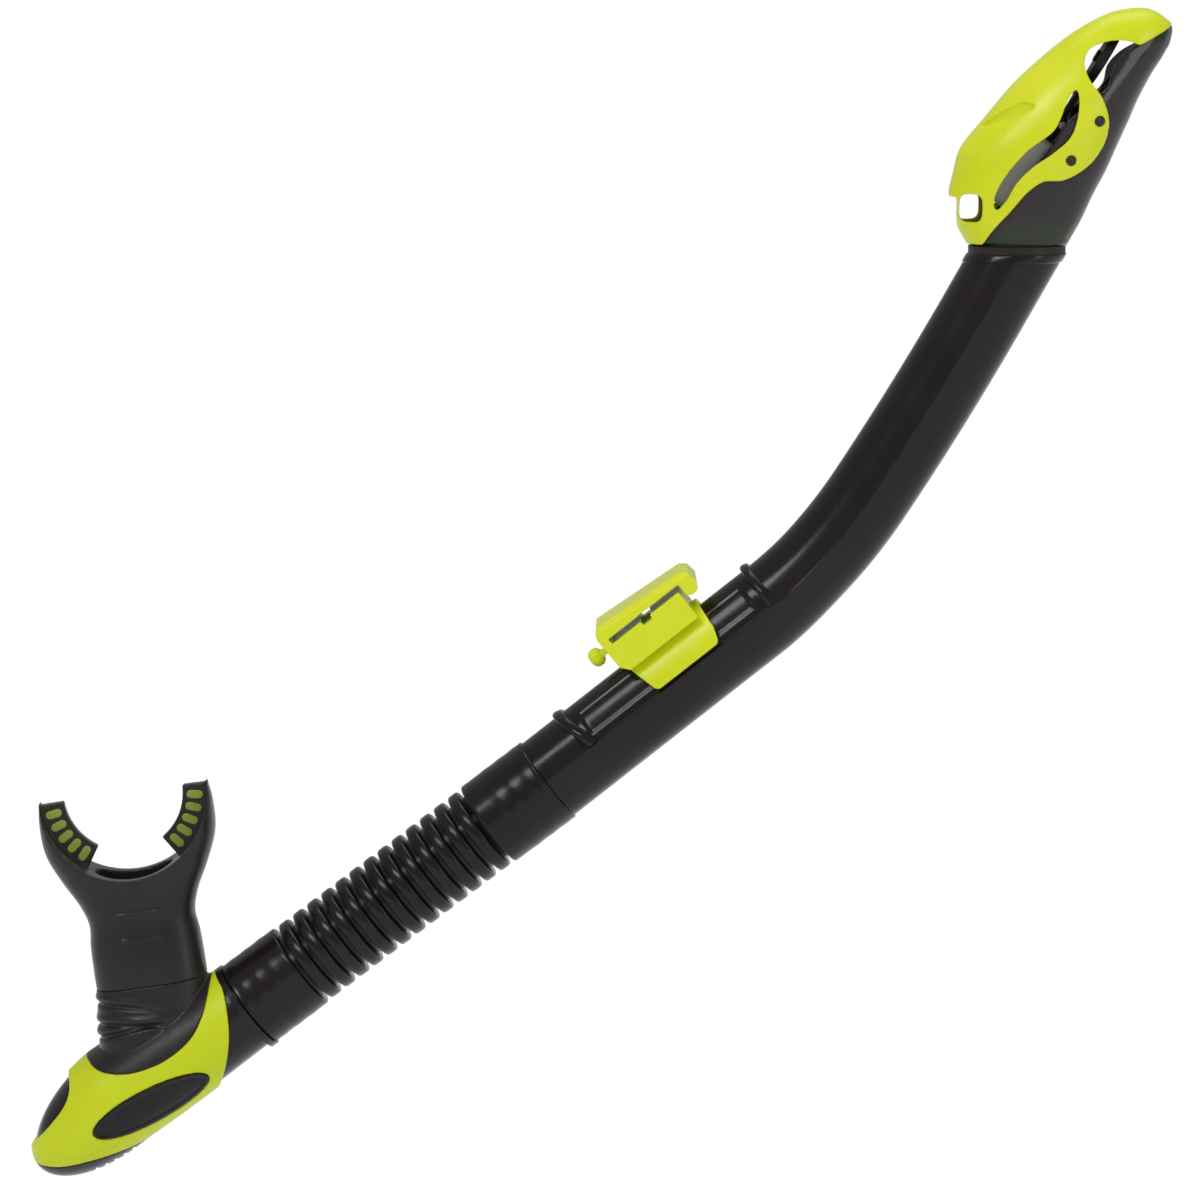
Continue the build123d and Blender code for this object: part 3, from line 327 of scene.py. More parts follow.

# ---------------------------------------------------------------- hose
# A soft ribbed sleeve in black gloss rubber, drawn over a barbed spigot at each end. The spigots' barbs
# show as soft swellings under its two plain cuffs.
hose_lean, upper_cuff, lower_cuff, cuff_out = 37.2, 24.6, 21.2, 14.9
rib_count, rib_pitch, rib_width, rib_out, rib_in = 13, 5.7, 4.2, 14.55, 11.6
hose_length = upper_cuff + rib_count * rib_pitch + rib_pitch - rib_width + lower_cuff
barb_places, barb_swell, cuff_bore = (3.8, 9.4, 15.0), 0.12, 12.0
cuff_lip = [(0.2, cuff_bore), (0.15, cuff_out - 0.5), (0.4, cuff_out - 0.1), (0.9, cuff_out)]


def cuff_profile(start, end, barbs):
    """Cuff's surface, swollen over the three barbs beneath it."""
    rows = []
    for n in range(31):
        place = start + (end - start) * n / 30
        swell = sum(exp(-((place - barb) / 1.5) ** 2) for barb in barbs)
        rows.append((place, cuff_out - barb_swell + barb_swell * swell))
    return rows


cuff_root = [(0.4, cuff_out - 0.2), (0.1, cuff_out - 0.6), (0.0, rib_in + 0.3)]
rib_flank = [(-0.15, rib_in), (0.0, rib_in + 0.4), (0.1, rib_out - 0.9), (0.35, rib_out - 0.3),
             (0.9, rib_out - 0.02)]
profile = cuff_lip + cuff_profile(1.2, upper_cuff - 0.9, barb_places)
profile += [(upper_cuff - inset, radius) for inset, radius in cuff_root]
for rib in range(rib_count):
    start = upper_cuff + (rib_pitch - rib_width) + rib * rib_pitch
    profile += [(start + inset, radius) for inset, radius in rib_flank]
    profile.append((start + rib_width / 2, rib_out))
    profile += [(start + rib_width - inset, radius) for inset, radius in reversed(rib_flank)]
cuff_start = hose_length - lower_cuff
profile += [(cuff_start + inset, radius) for inset, radius in reversed(cuff_root)]
profile += cuff_profile(cuff_start + 0.9, hose_length - 1.2, [hose_length - place for place in barb_places])
profile += [(hose_length - inset, radius) for inset, radius in reversed(cuff_lip)]
rings = [ring(foot - along(hose_lean) * distance, hose_lean, radius, radius, 128)
         for distance, radius in profile]
hose_black = moulded_plastic("hose_black", colour(20, 16, 15), colour(29, 24, 22), 0.22, 0.02)
hose_piece = piece("hose_sleeve", grid_mesh("hose_sleeve", rings), None, hose_black, 50)
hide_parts("hose")
ribs_start, ribs_end = ((foot - along(hose_lean) * distance) * MM for distance in (upper_cuff, cuff_start))
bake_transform(hose_piece)

# ---------------------------------------------------------------- keeper
# A neon shoe that slides on the barrel's rail, and over it a neon clip with the mask strap's slot, hooked at
# its open end. A sprung button at its lower end frees it. All three have soft moulded edges.
STRAP = along(tube_lean)


def curve_through(points, closed=False, per=8):
    """Smooth curve through points of any dimension."""
    def past_end(end, before):
        return tuple(2 * a - b for a, b in zip(end, before))

    ends = list(points)
    if not closed:
        ends = [past_end(points[0], points[1])] + ends + [past_end(points[-1], points[-2])]
    count = len(points) if closed else len(points) - 1
    line = []
    for n in range(count):
        quad = [ends[(n + k - (1 if closed else 0)) % len(ends)] for k in range(4)]
        reaches = [sqrt(sum((b - a) ** 2 for a, b in zip(p[:4], q[:4]))) for p, q in zip(quad, quad[1:])]
        before, here, after = (max(0.001, reach ** 0.5) for reach in reaches)
        for m in range(per):
            t = m / per
            row = []
            for p0, p1, p2, p3 in zip(*quad):
                into = ((p1 - p0) / before - (p2 - p0) / (before + here) + (p2 - p1) / here) * here
                out_of = ((p2 - p1) / here - (p3 - p1) / (here + after) + (p3 - p2) / after) * here
                square, cube = 3 * (p2 - p1) - 2 * into - out_of, 2 * (p1 - p2) + into + out_of
                row.append(p1 + into * t + square * t * t + cube * t ** 3)
            line.append(tuple(row))
    if not closed:
        line.append(tuple(points[-1]))
    return line


def shape_object(mesh):
    """Unlisted object for a mesh that takes part in a cut."""
    made = bpy.data.objects.new("cut", mesh)
    bpy.context.scene.collection.objects.link(made)
    return made


PAST = 60.0   # blocks that cut right through the snorkel end this far to each side


def prism(outline, low=-PAST, high=PAST):
    """Block with a side-view outline between two places across the snorkel."""
    return grid_mesh("prism", [[(x, y, z) for x, z in outline] for y in (low, high)])


def off(mesh):
    return "DIFFERENCE", mesh


def within(mesh):
    return "INTERSECT", mesh


def together(*meshes):
    """One mesh that holds several."""
    shape = bmesh.new()
    for mesh in meshes:
        shape.from_mesh(mesh)
    made = bpy.data.meshes.new("together")
    shape.to_mesh(made)
    shape.free()
    return made


def carved(base, *cuts):
    """Mesh after a row of cuts, each made by off or within."""
    made = shape_object(base)
    for mode, mesh in cuts:
        tool = shape_object(mesh)
        change = made.modifiers.new("cut", "BOOLEAN")
        change.operation = mode
        change.solver = "EXACT"
        change.object = tool
        result = bpy.data.meshes.new_from_object(made.evaluated_get(bpy.context.evaluated_depsgraph_get()))
        made.modifiers.clear()
        made.data = result
        bpy.data.objects.remove(tool)
    result = made.data
    bpy.data.objects.remove(made)
    return result


def softened(mesh, voxel, passes):
    """Mesh with all its edges rounded, as a moulding's are."""
    made = shape_object(mesh)
    remesh = made.modifiers.new("remesh", "REMESH")
    remesh.mode = "VOXEL"
    remesh.voxel_size = voxel * MM
    smooth = made.modifiers.new("smooth", "SMOOTH")
    smooth.factor = 0.5
    smooth.iterations = passes
    result = bpy.data.meshes.new_from_object(made.evaluated_get(bpy.context.evaluated_depsgraph_get()))
    bpy.data.objects.remove(made)
    return result


def node_copy(name):
    """A CAD node's mesh, copied and merged."""
    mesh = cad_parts[name].data.copy()
    shape = bmesh.new()
    shape.from_mesh(mesh)
    bmesh.ops.remove_doubles(shape, verts=shape.verts, dist=0.000002)
    shape.to_mesh(mesh)
    shape.free()
    return mesh


def neon_plastic(name, deep, pale, rough):
    """Dyed plastic: a cloudy neon colour with some light inside it and a light haze in its gloss."""
    finish = Finish(name, Subsurface_Weight=0.1, Subsurface_Radius=(0.004, 0.004, 0.001),
                    Subsurface_Scale=1.0, Specular_IOR_Level=0.3)
    cloud = finish.noise(35.0, 3.0)
    haze = finish.noise(160.0, 5.0)
    return finish.feed(
        Base_Color=finish.mix(finish.spread(cloud, 0.3, 0.75, 0.0, 1.0), deep, pale),
        Roughness=finish.spread(haze, 0.3, 0.8, rough * 0.85, rough * 1.25),
    ).bump(finish.noise(900.0, 2.0), 0.01).material


neon = neon_plastic("keeper_neon", colour(214, 226, 20), colour(226, 234, 44), 0.28)
clip = piece("strap_clip", softened(node_copy("keeper_clip"), 0.3, 5), "keeper", neon, 60)
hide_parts("keeper_clip")
shoe = piece("keeper_saddle", softened(node_copy("keeper_shoe"), 0.3, 4), "keeper", neon, 60)
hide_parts("keeper_shoe")
button = piece("release_button", softened(node_copy("keeper_button"), 0.25, 5), "button", neon, 60)
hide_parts("keeper_button")


def dress(node, material):
    """Gives a CAD node that stays visible its material."""
    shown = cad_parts[node]
    shown.data.materials.clear()
    shown.data.materials.append(material)


# The spring behind the button is a coil of thin steel wire.
steel = Finish("spring_steel", Metallic=1.0)
grain = steel.noise(400.0, 4.0, stretch=(1, 1, 12))
steel.feed(Base_Color=steel.mix(grain, colour(150, 150, 152), colour(205, 205, 206)),
           Roughness=steel.spread(grain, 0.2, 0.8, 0.22, 0.42)).bump(grain, 0.01)
low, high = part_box("button_spring")
middle = (Vector(low) + Vector(high)) / 2 / MM
coil_half, coil_radius, wire, coil_turns, coil_steps = 3.0, 0.78, 0.17, 8, 240
rings = []
for n in range(coil_steps + 1):
    turn = 2 * pi * coil_turns * n / coil_steps
    centre = middle + STRAP * (coil_half * (2 * n / coil_steps - 1))
    out = Vector((0, 1, 0)) * cos(turn) + along(tube_lean + 90) * sin(turn)
    rings.append([centre + out * (coil_radius + wire * cos(a)) + STRAP * wire * sin(a)
                  for a in (0.25 * pi * k for k in range(8))])
spring = piece("button_coil", grid_mesh("button_coil", rings), None, steel.material, 80)
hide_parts("button_spring")
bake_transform(spring)

# ---------------------------------------------------------------- purge chamber
# A bullet-shaped black shell. A neon cover is moulded round it, with a domed nose showing at its window, a
# black oval badge let into each side, and a slotted guard over the purge valve underneath.
hose_foot = foot - along(hose_lean) * hose_length
chamber_lean, chamber_length, nose_length, nose_drop = 34.3, 86.3, 34.3, -4.2
chamber_half, chamber_side, mouth_out, cover_thick = 17.0, 18.2, 15.2, 1.2
early_drop = 0.15   # share of the nose's drop that the tube behind it has


def chamber_skin(inset, around=120):
    """Closed mesh of the chamber's bullet, drawn in by inset."""
    tube_end = chamber_length - nose_length
    rows = []
    for n in range(25):
        share = n / 24
        swell = sin(radians(90 * share))
        rows.append((tube_end * share, nose_drop * early_drop * share,
                     mouth_out + (chamber_half - mouth_out) * swell,
                     mouth_out + (chamber_side - mouth_out) * swell))
    for n in range(1, 41):
        turn = radians(88.5 * n / 40)
        rows.append((tube_end + nose_length * sin(turn),
                     nose_drop * (early_drop + (1 - early_drop) * sin(turn)),
                     chamber_half * cos(turn), chamber_side * cos(turn)))
    rings = []
    for distance, rise, half, side in rows:
        back = along(chamber_lean) * distance * (chamber_length - inset) / chamber_length
        centre = hose_foot - back + along(chamber_lean + 90) * rise
        shrink = inset * (1 - 0.35 * (distance / chamber_length) ** 8)
        rings.append(ring(centre, chamber_lean, max(0.2, side - shrink), max(0.2, half - shrink), around))
    return grid_mesh("chamber_skin", rings)


def from_hose_foot(points):
    return [(hose_foot.x + x, hose_foot.z + z) for x, z in points]


cover_tip = (-11.6, 12.6)
saddle = curve_through([cover_tip, (-12.6, 6.0), (-14.4, -1.4), (-18.0, -8.4), (-25.0, -14.6), (-32.4, -18.2),
                        (-40.4, -20.0), (-48.4, -19.1), (-53.0, -15.8)])
shoulder = curve_through([(-9.4, -25.8), (-7.2, -18.8), (-5.8, -9.8), (-6.2, -0.8), (-8.2, 7.6), cover_tip])
nose_edge = curve_through([(-59.0, -20.0), (-57.4, -25.6), (-58.7, -30.6), (-63.8, -37.8), (-71.4, -46.6)])
belly = curve_through([(-71.6, -51.8), (-61.0, -51.6), (-52.0, -49.5), (-43.0, -46.9), (-33.0, -43.6)])
cover_line = from_hose_foot(shoulder + saddle[1:] + [(-58.5, -9.0), (-64.0, -14.0)] + nose_edge
                            + [(-78.0, -46.6), (-78.0, -53.0)] + belly + [(-27.0, -46.0), (-14.0, -40.0)])
badge_centre = hose_foot + Vector((-30.9, 0, -30.4))
badge_lean, badge_long, badge_tall, badge_gap, badge_rim, badge_proud = 27.0, 20.5, 5.8, 0.15, 1.1, 0.35


def badge_oval(grow):
    """Side-view outline of the badge."""
    line = []
    for k in range(72):
        a = 2 * pi * k / 72
        point = badge_centre + along(badge_lean) * (badge_long + grow) * cos(a)
        point += along(badge_lean + 90) * (badge_tall + grow) * sin(a)
        line.append((point.x, point.z))
    return line


cover_skin = carved(prism(cover_line), within(chamber_skin(0.0)), off(chamber_skin(cover_thick)),
                    off(prism(badge_oval(badge_gap))))
cover_neon = neon_plastic("cover_neon", colour(203, 219, 18), colour(212, 224, 30), 0.42)
cover = piece("chamber_shell", softened(cover_skin, 0.35, 3), "chamber", cover_neon, 60)
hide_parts("chamber_cover")

purge_lean = chamber_lean - 90
purge_foot = hose_foot - along(chamber_lean) * 64.0
recess_radius, recess_floor, below_chamber = 9.45, 8.6, 40.0
recess = [ring(purge_foot + along(purge_lean) * place, purge_lean, recess_radius, recess_radius, 96)
          for place in (recess_floor, below_chamber)]
chamber_black = moulded_plastic("chamber_black", colour(24, 22, 22), colour(34, 33, 34), 0.2)
core = carved(chamber_skin(cover_thick + 0.02), off(grid_mesh("recess", recess)))
shell = piece("chamber_core", core, "chamber", chamber_black, 30)
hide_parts("chamber_body")
badge_black = moulded_plastic("badge_black", colour(20, 16, 16), colour(28, 24, 24), 0.2, 0.02)
field_depth = 0.15   # the badge's field lies this far under the cover's surface, inside its proud rim
for name, low, high in (("badge_left", -PAST, 0.0), ("badge_right", 0.0, PAST)):
    field = carved(prism(badge_oval(-badge_rim), low, high), off(chamber_skin(field_depth)))
    plate = carved(prism(badge_oval(0.0), low, high), within(chamber_skin(-badge_proud)),
                   off(chamber_skin(cover_thick)), off(field))
    badge = piece(name + "_plate", softened(plate, 0.25, 3), "chamber", badge_black, 60)
    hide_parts(name)
dress("cuff_ring", chamber_black)

# The purge valve: a black seat with six ports, a thin silicone disc that lifts off it, and the guard.
slot_count, slot_pitch, slot_half, slot_reach, slot_top = 5, 3.4, 0.85, 5.65, 5.0
slots = []
for k in range(slot_count):
    centre = purge_foot + along(purge_lean + 90) * (slot_pitch * (k - (slot_count - 1) / 2))
    bar = []
    for place in (slot_top, below_chamber):
        line = []
        for point in ring(centre + along(purge_lean) * place, purge_lean, slot_half, slot_half, 32):
            line.append(point + Vector((0, slot_reach if point.y > 0 else -slot_reach, 0)))
        bar.append(line)
    slots.append(off(grid_mesh("slot", bar)))
guard_line = from_hose_foot(belly + [(-30.0, -62.0), (-76.0, -62.0)])
guard_skin = carved(prism(guard_line), within(chamber_skin(0.0)), off(chamber_skin(cover_thick)), *slots)
guard = piece("purge_grille", softened(guard_skin, 0.25, 2), "chamber", chamber_black, 60)
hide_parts("purge_guard")

# ---------------------------------------------------------------- elbow
# A soft dark boot from the chamber up to the mouthpiece. Its foot is trapped under the cover's curved edge,
# and three bellows folds on its open side let the mouthpiece tilt.
silicone = Finish("silicone_grey", Specular_IOR_Level=0.3, Sheen_Weight=0.06, Sheen_Roughness=0.4)
cloud = silicone.noise(40.0, 4.0)
grime = silicone.noise(220.0, 5.0)
dark_share = silicone.spread(cloud, 0.3, 0.75, 0.0, 1.0)
silicone.feed(Base_Color=silicone.mix(dark_share, colour(30, 26, 25), colour(41, 37, 36)),
              Roughness=silicone.spread(grime, 0.3, 0.8, 0.3, 0.42))
silicone.bump(silicone.noise(1400.0, 3.0), 0.012)
mouth_lean, neck_half, neck_side, neck_square = 8.2, 18.0, 12.5, 0.94
neck_foot = hose_foot + Vector((-31.2, 0, 7.8))
elbow_root = hose_foot + Vector((-31.0, 0, -19.0))


def oblong(centre, lean, half, side, share, around=120):
    """Ring of a rounded oblong square to an axis."""
    points = []
    for k in range(around):
        a = 2 * pi * (k + 0.5) / around
        across = side * cos(a)
        rise = half * sin(a)
        power = 2.0 + 2.4 * (1.0 - share) + (0.45 if half > side else 0.0)
        scale = (abs(cos(a)) ** power + abs(sin(a)) ** power) ** (-1 / power)
        points.append(centre + Vector((0, across * scale, 0)) + along(lean + 90) * rise * scale)
    return points


root_half, root_side, waist = 16.4, 14.5, 0.55   # the foot's half sizes, and where the boot is slimmest
fold_depth, fold_width, lip_width, lip_offset = 1.3, 0.7, 1.1, 2.0
# Each fold's rise above the root, its tilt and how far it reaches from the boot's open side.
folds = ((20.0, 2.0, 24.0), (13.2, 7.0, 34.0), (8.8, 22.0, 30.0))
rings = []
for n in range(91):
    share = n / 90
    low_share = min(1.0, share / waist)
    high_share = max(0.0, (share - waist) / (1 - waist))
    half = root_half + (neck_half - 0.4 - root_half) * sin(low_share * pi / 2) + 0.4 * high_share
    side = root_side + (neck_side + 0.9 - root_side) * low_share - 0.9 * high_share
    centre = elbow_root + (neck_foot - elbow_root) * share
    lean = 90 + mouth_lean * share
    folded = []
    for point in oblong(centre, lean, half, side, neck_square):
        from_left = point.x - (centre.x - half)
        depth = 0.0
        for rise, tilt, reach in folds:
            above = point.z - (elbow_root.z + rise + from_left * sin(radians(tilt)) - from_left ** 2 * 0.004)
            fade = 1 - step_between(from_left, reach * 0.35, reach)
            groove = fold_depth * exp(-(above / fold_width) ** 2)
            lip = 0.5 * exp(-((above - lip_offset) / lip_width) ** 2)
            depth += (groove - lip) * fade
        folded.append(point + (centre - point).normalized() * 0.9 * depth)
    rings.append(folded)
foot_region = from_hose_foot(saddle + [(-56.0, -8.0), (-31.0, 24.0)])
foot_skin = carved(prism(foot_region), within(chamber_skin(0.0)), off(chamber_skin(cover_thick + 0.1)))
boot = softened(together(grid_mesh("boot", rings), foot_skin), 0.35, 4)
elbow = piece("elbow_boot", boot, "chamber", silicone.material, 60)
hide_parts("elbow")

# ---------------------------------------------------------------- mouthpiece
# One silicone moulding: an oblong neck that flares to a thin lip flange, with two bite tabs inside it. Each
# tab carries five olive pads, and two low bars are moulded on the neck.
lip_radius, lip_height = 27.0, 62.0
tab_start, tab_turn, tab_outer, tab_inner, tab_half = 1.0, 56.0, 27.5, 19.2, 2.3
mouth_axis = 90 + mouth_lean
# Rows of distance along the mouthpiece, half height, half width and roundness.
outline = [(0.0, neck_half, neck_side, neck_square), (6.0, 18.0, 12.3, neck_square),
           (14.0, 17.8, 11.8, neck_square), (21.0, 17.2, 11.4, neck_square), (27.5, 19.1, 11.9, 0.85),
           (36.0, 23.5, 13.6, 0.8), (45.5, 27.4, 15.6, 0.75), (54.7, 28.1, 14.0, 0.75), (63.4, 27.2, 8.0, 0.75)]
rings = []
for height, half, side, share in curve_through(outline, per=9):
    rings.append(oblong(neck_foot + along(mouth_axis) * height, mouth_axis, half, side, share))
lip_place = neck_foot + along(mouth_axis) * lip_height
circle = [(lip_place.x + lip_radius * cos(a), lip_place.z + lip_radius * sin(a))
          for a in (2 * pi * k / 144 for k in range(144))]
bore_rows = [(-1.0, 15.7, 10.2), (21.0, 14.5, 9.1), (32.0, 13.2, 8.8), (44.0, 12.5, 8.8)]
bore = []
for height, half, side in curve_through(bore_rows, per=6):
    bore.append(oblong(neck_foot + along(mouth_axis) * height, mouth_axis, half, side, neck_square))
parts = [carved(grid_mesh("mouth", rings), off(prism(circle)), off(grid_mesh("bore", bore)))]
for first, turn in ((180 + mouth_lean, 1), (mouth_lean, -1)):
    ends = [first + turn * (tab_start + tab_turn * k / 24) for k in range(25)]
    band = [lip_place + along(end) * tab_outer for end in ends]
    band += [lip_place + along(end) * tab_inner for end in reversed(ends)]
    parts.append(prism([(point.x, point.z) for point in band], -tab_half, tab_half))
bar_radius, bar_depth = 0.42, 1.35
for rise, reach, proud in ((23.8, 7.2, 0.45), (15.6, 6.4, 0.25)):
    centre = neck_foot + along(mouth_axis) * rise - along(mouth_lean) * 0.5
    for side in (-1, 1):
        bar = []
        for run in (-reach, -reach / 2, 0.0, reach / 2, reach):
            bar.append([centre + along(mouth_lean) * run + along(mouth_axis) * bar_radius * sin(a)
                        + Vector((0, side * (neck_side - bar_depth + proud + bar_radius * cos(a)), 0))
                        for a in (2 * pi * k / 12 for k in range(12))])
        parts.append(grid_mesh("bar", bar))
moulding = softened(together(*parts), 0.42, 4)
mouthpiece = piece("mouthpiece_moulding", moulding, "chamber", silicone.material, 60)
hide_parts("mouthpiece")
pad = Finish("pad_olive")
cloud = pad.noise(120.0, 4.0)
pad.feed(Base_Color=pad.mix(cloud, colour(130, 142, 40), colour(152, 164, 56)),
         Roughness=pad.spread(cloud, 0.3, 0.7, 0.42, 0.55))
pad.bump(pad.noise(1500.0, 2.0), 0.015)
for node in ("bite_pads_far", "bite_pads_near"):
    pads = piece(node + "_soft", softened(node_copy(node), 0.2, 5), "chamber", pad.material, 60)
    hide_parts(node)

# ---------------------------------------------------------------- dry top
# A clear smoke-tinted valve body plugs into the barrel over a seal ring. Inside it a black seat plate holds
# the air port, and a pinned rocker carries the pale foam float and the gate that shuts the port.
top_place = barrel_top.copy()
rim_half = crown_half / sin(radians(top_lean))
# Rows of the head's left edge, its right edge and its half width, from the foot up to the tip.
head_rows = curve_through([
    (-rim_half - 0.2, 2.4, rim_half + 0.3, 2.4, 13.0), (-20.0, 10.6, 20.4, 10.6, 14.9),
    (-21.9, 17.7, 24.1, 18.6, 16.0), (-20.4, 26.0, 28.2, 26.4, 16.8), (-18.2, 33.4, 31.4, 33.7, 17.0),
    (-10.4, 43.2, 35.0, 41.7, 17.0), (-1.7, 53.6, 37.8, 48.3, 16.0), (8.1, 62.7, 41.6, 55.7, 14.2),
    (15.2, 68.4, 43.6, 59.0, 12.7), (21.5, 72.5, 45.5, 61.9, 11.0), (26.8, 75.2, 46.7, 64.1, 9.8),
    (31.3, 76.8, 47.8, 66.0, 8.5), (39.9, 77.6, 48.7, 69.7, 5.4), (43.6, 76.4, 48.7, 71.4, 3.4),
    (45.8, 75.0, 48.6, 72.5, 1.8), (47.0, 74.1, 48.1, 73.2, 0.7)], per=6)


def head_skin(left_inset, right_inset, side_inset, around=144):
    """Closed mesh of the hood's form, its left edge, right edge and sides drawn in."""
    rings = []
    for lx, lz, rx, rz, side in head_rows:
        across = Vector((rx - lx, 0, rz - lz))
        half = (across.length - left_inset - right_inset) / 2
        if min(half, side - side_inset) < 0.5:
            continue
        offset = (left_inset - right_inset) / 2 / across.length + 0.5
        centre = top_place + Vector((lx, 0, lz)) + across * offset
        way = across.normalized()
        rings.append([centre + way * half * sin(a) + Vector((0, (side - side_inset) * cos(a), 0))
                      for a in (2 * pi * k / around for k in range(around))])
    return grid_mesh("head_skin", rings)


def from_top(points):
    return [(top_place.x + x, top_place.z + z) for x, z in points]


def round_outline(x, z, radius, around=48):
    turns = (2 * pi * k / around for k in range(around))
    return [(top_place.x + x + radius * cos(a), top_place.z + z + radius * sin(a)) for a in turns]


smoke = Finish("smoke_clear", IOR=1.5, Specular_IOR_Level=0.4)
cloud = smoke.noise(30.0, 3.0)
height = smoke.node("ShaderNodeSeparateXYZ", {}, smoke.place, output="Z")
# Painted glow: the smoke is painted green towards its tip and its foot, where the neon hood's light shows
# through it, and it is made more see-through there.
tip_from, tip_to, foot_from, foot_to = 0.176, 0.186, 0.126, 0.118   # heights in metres
painted_hood_glow = smoke.spread(height, tip_from, tip_to, 0.0, 1.0) + smoke.spread(height, foot_from, foot_to, 0.0, 0.5)
smoke_and_painted_glow = smoke.mix(painted_hood_glow, colour(40, 34, 35), colour(38, 72, 34))
smoke.feed(Base_Color=smoke.mix(smoke.spread(cloud, 0.3, 0.8, 0.0, 0.25), smoke_and_painted_glow, colour(72, 64, 66)),
           Roughness=smoke.spread(smoke.noise(120.0, 4.0), 0.3, 0.8, 0.08, 0.16),
           Alpha=smoke.spread(painted_hood_glow, 0.0, 1.0, 0.86, 0.72))
smoke.bump(smoke.noise(600.0, 2.0), 0.01)
cheek_inset, wall = 1.8, 1.7
shell_edge = curve_through([(-12.7, 5.5), (-4.1, 15.3), (0.8, 21.9), (5.8, 28.0), (9.5, 33.6), (14.9, 42.6),
                            (24.0, 49.6), (27.6, 53.4), (29.1, 59.2), (33.1, 63.7), (38.1, 66.7)])
floor_rise, floor_thick = 2.4, 1.6
body_region = from_top([(62.0, floor_rise), (-30.0, floor_rise)] + shell_edge + [(50.0, 73.0), (62.0, 73.0)])
inner = head_skin(cheek_inset + wall, wall, cheek_inset + wall)
valve_parts = [carved(prism(body_region), within(head_skin(cheek_inset, 0.0, cheek_inset)), off(inner))]
floor_low, floor_high = top_place.z + floor_rise, top_place.z + floor_rise + floor_thick
floor_skin = carved(prism([(60, floor_low), (180, floor_low), (180, floor_high), (60, floor_high)]),
                    within(head_skin(cheek_inset, 0.0, cheek_inset)), off(node_copy("valve_seat")))
stud_places, stud_radius, stud_proud, stud_root = [(25.0, 42.4), (16.0, 30.1)], 1.5, 0.3, 0.4
root_inset = cheek_inset + wall - stud_root
for x, z in stud_places:
    valve_parts.append(carved(prism(round_outline(x, z, stud_radius)),
                              within(head_skin(-stud_proud, -stud_proud, -stud_proud)),
                              off(head_skin(root_inset, wall, root_inset))))
valve = piece("valve_shell", softened(together(*valve_parts), 0.35, 3), "barrel", smoke.material, 60)
plug = piece("valve_floor", floor_skin, "barrel", smoke.material, 30)
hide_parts("valve_body")
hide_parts("valve_body")
rubber = moulded_plastic("seal_rubber", colour(26, 24, 24), colour(40, 37, 36), 0.45, 0.02)
dress("barrel_seal", rubber)
dress("flap_seal", rubber)
dress("purge_disc", silicone.material)
inner_black = moulded_plastic("valve_black", colour(16, 14, 14), colour(28, 25, 24), 0.4, 0.02)
for node in ("valve_seat", "valve_rocker", "purge_seat"):
    dress(node, inner_black)
dress("rocker_pin", steel.material)
foam = Finish("float_foam", Subsurface_Weight=0.1, Subsurface_Radius=(0.003, 0.003, 0.003),
              Subsurface_Scale=1.0)
cell = foam.noise(900.0, 2.0)
pale_share = foam.spread(foam.noise(60.0, 3.0), 0.3, 0.7, 0.0, 1.0)
foam.feed(Base_Color=foam.mix(pale_share, colour(184, 178, 180), colour(206, 202, 204)),
          Roughness=foam.spread(cell, 0.2, 0.8, 0.55, 0.75))
foam.bump(cell, 0.03)
float_piece = piece("float_block", softened(node_copy("valve_float"), 0.35, 4), "rocker", foam.material, 60)
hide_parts("valve_float")

# ---------------------------------------------------------------- hood
# The neon cover of the dry top, snapped over two studs a side. A curved slot shows the float, an arched
# window leads air to the gate, and a gill is sunk in its flank above a flat-fronted chin.
hood_thick, gill_depth, hole_radius = 1.6, 1.15, 1.6
hood_edge = curve_through([(-11.4, 3.0), (-8.2, 8.0), (-3.4, 13.4), (2.7, 20.4), (7.6, 23.5), (13.7, 23.8),
                           (22.3, 28.7), (27.2, 36.0), (28.1, 42.7), (25.9, 49.5), (21.7, 55.6), (20.1, 60.5),
                           (21.7, 64.8), (28.4, 67.5), (33.9, 67.5), (37.9, 66.1)])
hood_region = from_top(hood_edge + [(47.9, 71.5), (60.0, 90.0), (-40.0, 90.0), (-40.0, 3.0)])
slot_points = [(18.3, 50.1), (17.7, 42.7), (15.5, 37.2), (10.0, 32.3), (3.9, 28.1), (-1.0, 23.2), (-4.7, 17.0),
               (-7.4, 14.4), (-8.2, 16.4), (-7.1, 20.7), (-3.4, 26.8), (2.7, 33.6), (10.3, 39.4), (12.8, 44.0),
               (14.6, 48.9), (17.4, 52.4)]
slot_line = from_top(curve_through(slot_points, closed=True))
gill_line = from_top(curve_through([(-12.0, 40.3), (-4.0, 42.4), (2.4, 45.6), (4.5, 47.3), (1.2, 48.3),
                                    (-5.0, 45.4)], closed=True))


def squared(share, power=0.55):
    """Sine or cosine pushed out towards a square."""
    return (1 if share > 0 else -1) * abs(share) ** power


window_line = from_top([(-15.2 + 3.5 * squared(cos(a)), 14.8 + 4.45 * squared(sin(a)))
                        for a in (2 * pi * (k + 0.5) / 48 for k in range(48))])
chin = from_top([(-60.0, -20.0), (-19.1, -20.0), (-19.1, 18.0), (-60.0, 18.0)])
chin_inner = from_top([(-60.0, -20.0), (-17.5, -20.0), (-17.5, 19.6), (-60.0, 19.6)])
hollow = carved(head_skin(hood_thick, -0.2, hood_thick), off(prism(chin_inner)))
gill = carved(prism(gill_line), off(head_skin(gill_depth, gill_depth, gill_depth)))
stud_holes = [off(prism(round_outline(x, z, hole_radius))) for x, z in stud_places]
hood_skin = carved(prism(hood_region), within(head_skin(0.0, 0.0, 0.0)), off(prism(chin)), off(hollow),
                   off(gill), off(prism(slot_line)), off(prism(window_line)), *stud_holes)
hood_neon = neon_plastic("hood_neon", colour(215, 226, 24), colour(225, 233, 44), 0.3)
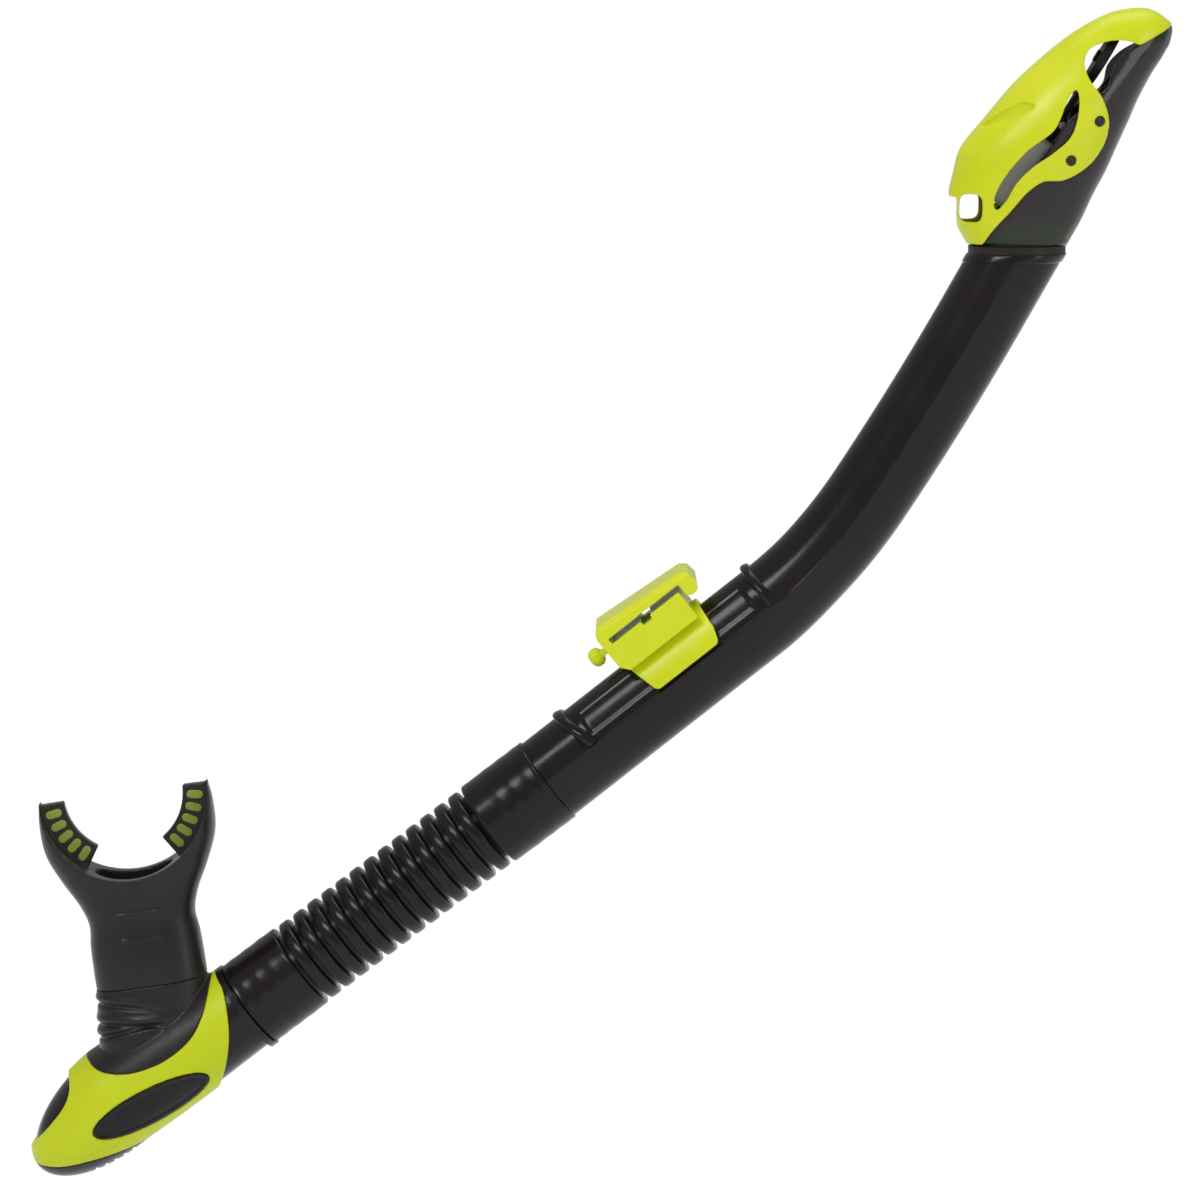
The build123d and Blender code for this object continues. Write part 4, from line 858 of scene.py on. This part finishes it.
hood = piece("hood_cover", softened(hood_skin, 0.4, 4), "barrel", hood_neon, 60)
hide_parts("hood")

# ---------------------------------------------------------------- room
# A pale studio: white floor and backdrop, three soft boxes that draw the streaks on the gloss, and a camera
# that looks at the snorkel's side from a little above it.
floor_mesh = bpy.data.meshes.new("floor")
low_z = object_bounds()[0][2] - 0.06
floor_mesh.from_pydata([(-6, -6, low_z), (6, -6, low_z), (6, 6, low_z), (-6, 6, low_z)], [], [(0, 1, 2, 3)])
floor_object = bpy.data.objects.new("floor", floor_mesh)
bpy.context.scene.collection.objects.link(floor_object)
pale = Finish("pale_floor", Roughness=0.9)
pale.shader.inputs["Base Color"].default_value = (0.93, 0.93, 0.93, 1.0)
rays = pale.tree.nodes.new("ShaderNodeLightPath")
straight_ray, mirrored, passed = (Wire(pale, rays.outputs[f"Is {kind} Ray"])
                                  for kind in ("Camera", "Glossy", "Transmission"))
seen = straight_ray.maths("MAXIMUM", straight_ray, mirrored.maths("MAXIMUM", mirrored, passed))
glow = pale.node("ShaderNodeEmission", {}, (1.0, 1.0, 1.0, 1.0), 1.0)
blend = pale.tree.nodes.new("ShaderNodeMixShader")
pale.tree.links.new(seen.socket, blend.inputs[0])
pale.tree.links.new(pale.shader.outputs[0], blend.inputs[1])
pale.tree.links.new(glow.socket, blend.inputs[2])
pale.tree.links.new(blend.outputs[0], pale.tree.nodes["Material Output"].inputs["Surface"])
floor_mesh.materials.append(pale.material)


def soft_box(name, place, aim, width, height, power):
    """Area lamp that faces a point."""
    lamp = bpy.data.lights.new(name, "AREA")
    lamp.shape = "RECTANGLE"
    lamp.size, lamp.size_y, lamp.energy = width, height, power
    made = bpy.data.objects.new(name, lamp)
    made.location = place
    made.rotation_euler = (Vector(aim) - Vector(place)).to_track_quat("-Z", "Y").to_euler()
    bpy.context.scene.collection.objects.link(made)


soft_box("key", (-0.9, -1.5, 1.3), (0.0, 0.0, 0.0), 1.0, 0.5, 14.0)
soft_box("fill", (1.4, -1.2, 0.4), (0.0, 0.0, 0.0), 0.5, 1.2, 5.0)
soft_box("top", (0.1, 0.3, 1.6), (0.0, 0.0, 0.0), 1.4, 0.8, 8.0)
world = bpy.data.worlds.new("studio")
bpy.context.scene.world = world
world.use_nodes = True
nodes = world.node_tree.nodes
rays = nodes.new("ShaderNodeLightPath")
most = nodes.new("ShaderNodeMath")
most.operation = "MAXIMUM"
world.node_tree.links.new(rays.outputs["Is Camera Ray"], most.inputs[0])
world.node_tree.links.new(rays.outputs["Is Transmission Ray"], most.inputs[1])
strength = nodes.new("ShaderNodeMapRange")
strength.inputs["To Min"].default_value = 0.42
strength.inputs["To Max"].default_value = 1.0
world.node_tree.links.new(most.outputs[0], strength.inputs["Value"])
world.node_tree.links.new(strength.outputs[0], nodes["Background"].inputs["Strength"])
nodes["Background"].inputs["Color"].default_value = (1.0, 1.0, 1.0, 1.0)
bpy.context.scene.view_settings.view_transform = "Standard"

camera = bpy.data.cameras.new("camera")
camera.lens = 200.0
camera.sensor_width = 36.0
view = bpy.data.objects.new("camera", camera)
bpy.context.scene.collection.objects.link(view)
rise, width = radians(7.0), 0.384
aim = Vector((-0.0158, 0.0, 0.0018))
view.location = aim + Vector((0.0, -cos(rise), sin(rise))) * (width / 36.0 * 200.0)
view.rotation_euler = (pi / 2 - rise, 0.0, 0.0)
bpy.context.scene.camera = view
